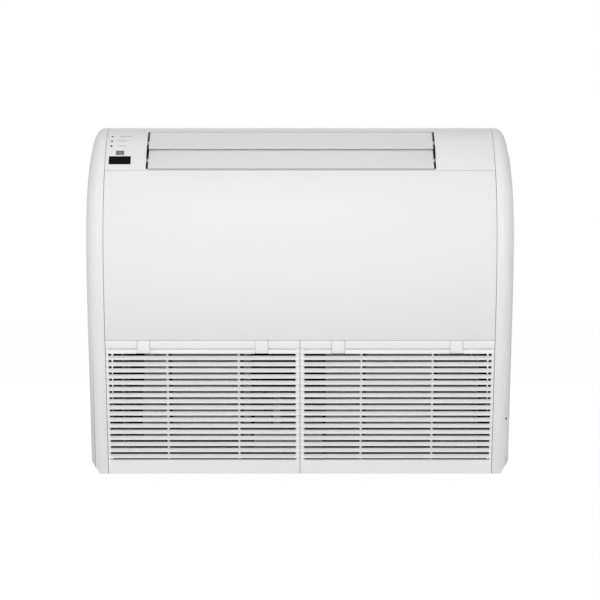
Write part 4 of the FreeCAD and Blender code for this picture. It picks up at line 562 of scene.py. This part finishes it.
ink, shader = surface("grey_ink", (0.3, 0.3, 0.3), 0.55)
ink_spots = grain(ink, "ShaderNodeTexNoise", 1500.0)
vary(ink, ink_spots, shader.inputs["Base Color"], (0.26, 0.26, 0.26), (0.36, 0.36, 0.36))
vary(ink, ink_spots, shader.inputs["Roughness"], 0.5, 0.62)
bar_height, ink_thickness = 0.0015, 0.0001
bar_round = bar_height * 0.3
bpy.context.view_layer.update()
lamp_rows = [(-0.3583, -0.3355, 0.3250), (-0.3595, -0.3425, 0.3150), (-0.3595, -0.3425, 0.3045)]
for index, (bar_left, bar_right, level) in enumerate(lamp_rows):
    spot, normal, tilt = spot_on_top((bar_left + bar_right) / 2, level)
    bpy.ops.object.select_all(action="DESELECT")
    bpy.ops.mesh.primitive_plane_add(size=1, location=spot)
    bar = bpy.context.object
    bar.rotation_euler = (tilt, 0, 0)
    bar.scale = (bar_right - bar_left, bar_height, 1)
    bpy.ops.object.transform_apply(location=True, rotation=True, scale=True)
    bpy.ops.object.mode_set(mode="EDIT")
    bpy.ops.mesh.select_all(action="SELECT")
    bpy.ops.mesh.bevel(offset=bar_round, segments=3, affect="VERTICES")
    bpy.ops.mesh.select_all(action="SELECT")
    bpy.ops.mesh.extrude_region_move(TRANSFORM_OT_translate={"value": normal * ink_thickness})
    bpy.ops.mesh.select_all(action="SELECT")
    bpy.ops.mesh.normals_make_consistent(inside=False)
    settle(bar, f"lamp_mark_{index + 1}")
    bar.data.materials.append(ink)
    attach(bar, "cabinet")

# Outlet shadow: a thin grey strip on the narrow lip of the top panel, below the edge of the lower louver.
# Its grey is painted shadow for the gap under the louver. It lies along the opening, between the louver's
# end pins.
strip_width, strip_rise, strip_round = 0.0018, 0.0002, 0.00008
left_pin, right_pin = 0.008, 0.0145
louver_low, louver_high = (Vector(corner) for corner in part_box("lower_louver"))
strip_left, strip_right = louver_low.x + left_pin, louver_high.x - right_pin
lip_level = (louver_low.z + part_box("front_panel")[1][2]) / 2
spot, normal, tilt = spot_on_top(0, lip_level)
strip_centre = ((strip_left + strip_right) / 2, spot.y, spot.z)
strip_size = (strip_right - strip_left, strip_width, 2 * strip_rise)
strip = rounded_slab("outlet_shadow_strip", strip_centre, strip_size, strip_round, tilt)
# Mid grey: painted shadow under the lower louver.
louver_gap_painted_shadow = moulded("louver_gap_painted_shadow", (0.42, 0.42, 0.42), 0.7, specular=0.2)
strip.data.materials.append(louver_gap_painted_shadow)
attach(strip, "cabinet")

# Louvers: two white plastic blades that close the outlet, moulded with ribs and end pins. The pins turn in
# bosses of the outlet duct. Their white is a little darker than the cabinet's: painted shade on the blades.
# Darker than the cabinet white: painted shade.
louver_white_painted_shade = satin_white("louver_white_painted_shade", 0.80)
louver_edge = 0.0004
for louver_node in ("upper_louver", "lower_louver"):
    louver = merged_copy(louver_node, f"{louver_node}_blade")
    finish_shell(louver, louver_white_painted_shade, louver_node, louver_node, louver_edge)

# Inlet grilles with latches: white plastic slats and rails moulded as one frame, hinged at the foot and held
# by two sliding latches of the same white. That white is paler than the cabinet's: painted light on the
# grilles.
# Paler than the cabinet white: painted light.
grille_white_painted_light = satin_white("grille_white_painted_light", 0.89)
slat_edge = 0.0005
for side in ("left", "right"):
    for hinged in (f"{side}_grille", f"{side}_latch_1", f"{side}_latch_2"):
        piece = merged_copy(hinged, f"{hinged}_moulding")
        finish_shell(piece, grille_white_painted_light, hinged, hinged, slat_edge)

# Filters: a black moulded frame in the back of each grille, with a woven plastic net across it. The net's
# threads run along and across the slope of the grille.
filter_dark = moulded("filter_dark", (0.03, 0.03, 0.033), 0.6, specular=0.1)
dress(filter_dark, "left_filter", "right_filter")
slope = math.radians(16.2)
thread, thread_pitch, frame_rim, frame_sheet = 0.00024, 0.0024, 0.0035, 0.0036
net_black = moulded("net_black", (0.012, 0.012, 0.013), 0.55, specular=0.1)


def threads(name, size, place, step, count):
    """One thread on the grille's slope, repeated at even steps."""
    bpy.ops.object.select_all(action="DESELECT")
    bpy.ops.mesh.primitive_cube_add(size=1, location=place)
    strand = bpy.context.object
    strand.scale = size
    strand.rotation_euler = (slope, 0, 0)
    settle(strand, name)
    repeat(strand, step, count)
    return strand


along = Vector((0, -math.sin(slope), math.cos(slope)))
half_sheet = Vector((0, -math.cos(slope), -math.sin(slope))) * frame_sheet / 2
for side in ("left", "right"):
    low, high = (Vector(corner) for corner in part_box(f"{side}_filter"))
    net_foot = Vector((0, high.y, low.z + frame_sheet * math.sin(slope))) + half_sheet + along * frame_rim
    length = (high.z - low.z) / math.cos(slope) - 2 * frame_rim - frame_sheet * math.tan(slope)
    left_edge, right_edge = low.x + frame_rim, high.x - frame_rim
    width = right_edge - left_edge
    across_count, up_count = int(length / thread_pitch), int(width / thread_pitch)
    first = net_foot + along * thread_pitch / 2 + Vector(((left_edge + right_edge) / 2, 0, 0))
    across = threads("across", (width, thread, thread), first, along * thread_pitch, across_count)
    middle = net_foot + along * length / 2 + Vector((left_edge + thread_pitch / 2, 0, 0))
    upright = threads("upright", (thread, thread, length), middle, (thread_pitch, 0, 0), up_count)
    bpy.ops.object.select_all(action="DESELECT")
    upright.select_set(True)
    across.select_set(True)
    bpy.context.view_layer.objects.active = across
    bpy.ops.object.join()
    net = bpy.context.object
    net.name = f"{side}_filter_net"
    net.data.materials.clear()
    net.data.materials.append(net_black)
    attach(net, f"{side}_grille")

# Floor: a wide pale plane just under the unit. The camera sees it nearly white, with the unit's soft shadow
# left on it.
floor_gap, floor_size = 0.0005, 60
bpy.ops.object.select_all(action="DESELECT")
bpy.ops.mesh.primitive_plane_add(size=floor_size, location=(0, 0, cad_box[0][2] - floor_gap))
floor = bpy.context.object
floor.name = "floor"
floor_white, shader = surface("floor_white", (0.9, 0.9, 0.9), 0.9)
tree = floor_white.node_tree
path = tree.nodes.new("ShaderNodeLightPath")
glow = tree.nodes.new("ShaderNodeEmission")
glow.inputs["Strength"].default_value = 1.015
glow_share = tree.nodes.new("ShaderNodeMath")
glow_share.operation = "MULTIPLY"
glow_share.inputs[1].default_value = 0.96
mix = tree.nodes.new("ShaderNodeMixShader")
tree.links.new(path.outputs["Is Camera Ray"], glow_share.inputs[0])
tree.links.new(glow_share.outputs[0], mix.inputs["Fac"])
tree.links.new(shader.outputs["BSDF"], mix.inputs[1])
tree.links.new(glow.outputs["Emission"], mix.inputs[2])
tree.links.new(mix.outputs["Shader"], tree.nodes["Material Output"].inputs["Surface"])
floor.data.materials.append(floor_white)

# Surround: white to the camera, to reflections and through clear pieces, and a weaker even light on
# everything else.
world = bpy.data.worlds.new("surround")
bpy.context.scene.world = world
world.use_nodes = True
tree = world.node_tree
background = tree.nodes["Background"]
background.inputs["Color"].default_value = (1, 1, 1, 1)
path = tree.nodes.new("ShaderNodeLightPath")
seen = tree.nodes.new("ShaderNodeMath")
seen.operation = "MAXIMUM"
either = tree.nodes.new("ShaderNodeMath")
either.operation = "MAXIMUM"
strength = tree.nodes.new("ShaderNodeMapRange")
strength.inputs["To Min"].default_value = 0.41
strength.inputs["To Max"].default_value = 1.0
tree.links.new(path.outputs["Is Camera Ray"], seen.inputs[0])
tree.links.new(path.outputs["Is Glossy Ray"], seen.inputs[1])
tree.links.new(seen.outputs[0], either.inputs[0])
tree.links.new(path.outputs["Is Transmission Ray"], either.inputs[1])
tree.links.new(either.outputs[0], strength.inputs["Value"])
tree.links.new(strength.outputs["Result"], background.inputs["Strength"])

# Lights: one broad soft light high in front, two weak fills at the sides and one light behind. All are
# turned to the origin.
def soft_light(name, place, size, watts):
    """A square light turned to the origin."""
    bpy.ops.object.light_add(type="AREA", location=place)
    lamp = bpy.context.object
    lamp.name = name
    lamp.data.shape = "RECTANGLE"
    lamp.data.size = size
    lamp.data.size_y = size
    lamp.data.energy = watts
    lamp.rotation_euler = (-Vector(place)).to_track_quat("-Z", "Y").to_euler()


soft_light("front_light", (-0.15, -3.9, 1.5), size=1.8, watts=80)
soft_light("left_fill", (-4.0, 1.8, 1.0), size=2.0, watts=10)
soft_light("right_fill", (4.0, 1.8, 1.0), size=2.0, watts=7)
soft_light("rear_light", (0, 4.0, 1.2), size=2.0, watts=40)

# Camera: level with the middle of the unit and straight in front of it, with a long lens. Its distance is
# measured from the front face.
camera_distance = 4.0
camera_data = bpy.data.cameras.new("camera")
camera = bpy.data.objects.new("camera", camera_data)
bpy.context.scene.collection.objects.link(camera)
camera.location = (0, cad_box[0][1] - camera_distance, 0)
camera.rotation_euler = (math.pi / 2, 0, 0)
camera_data.sensor_width = 36
camera_data.lens = 123.5
bpy.context.scene.camera = camera
bpy.context.scene.view_settings.view_transform = "Standard"

bpy.context.view_layer.update()
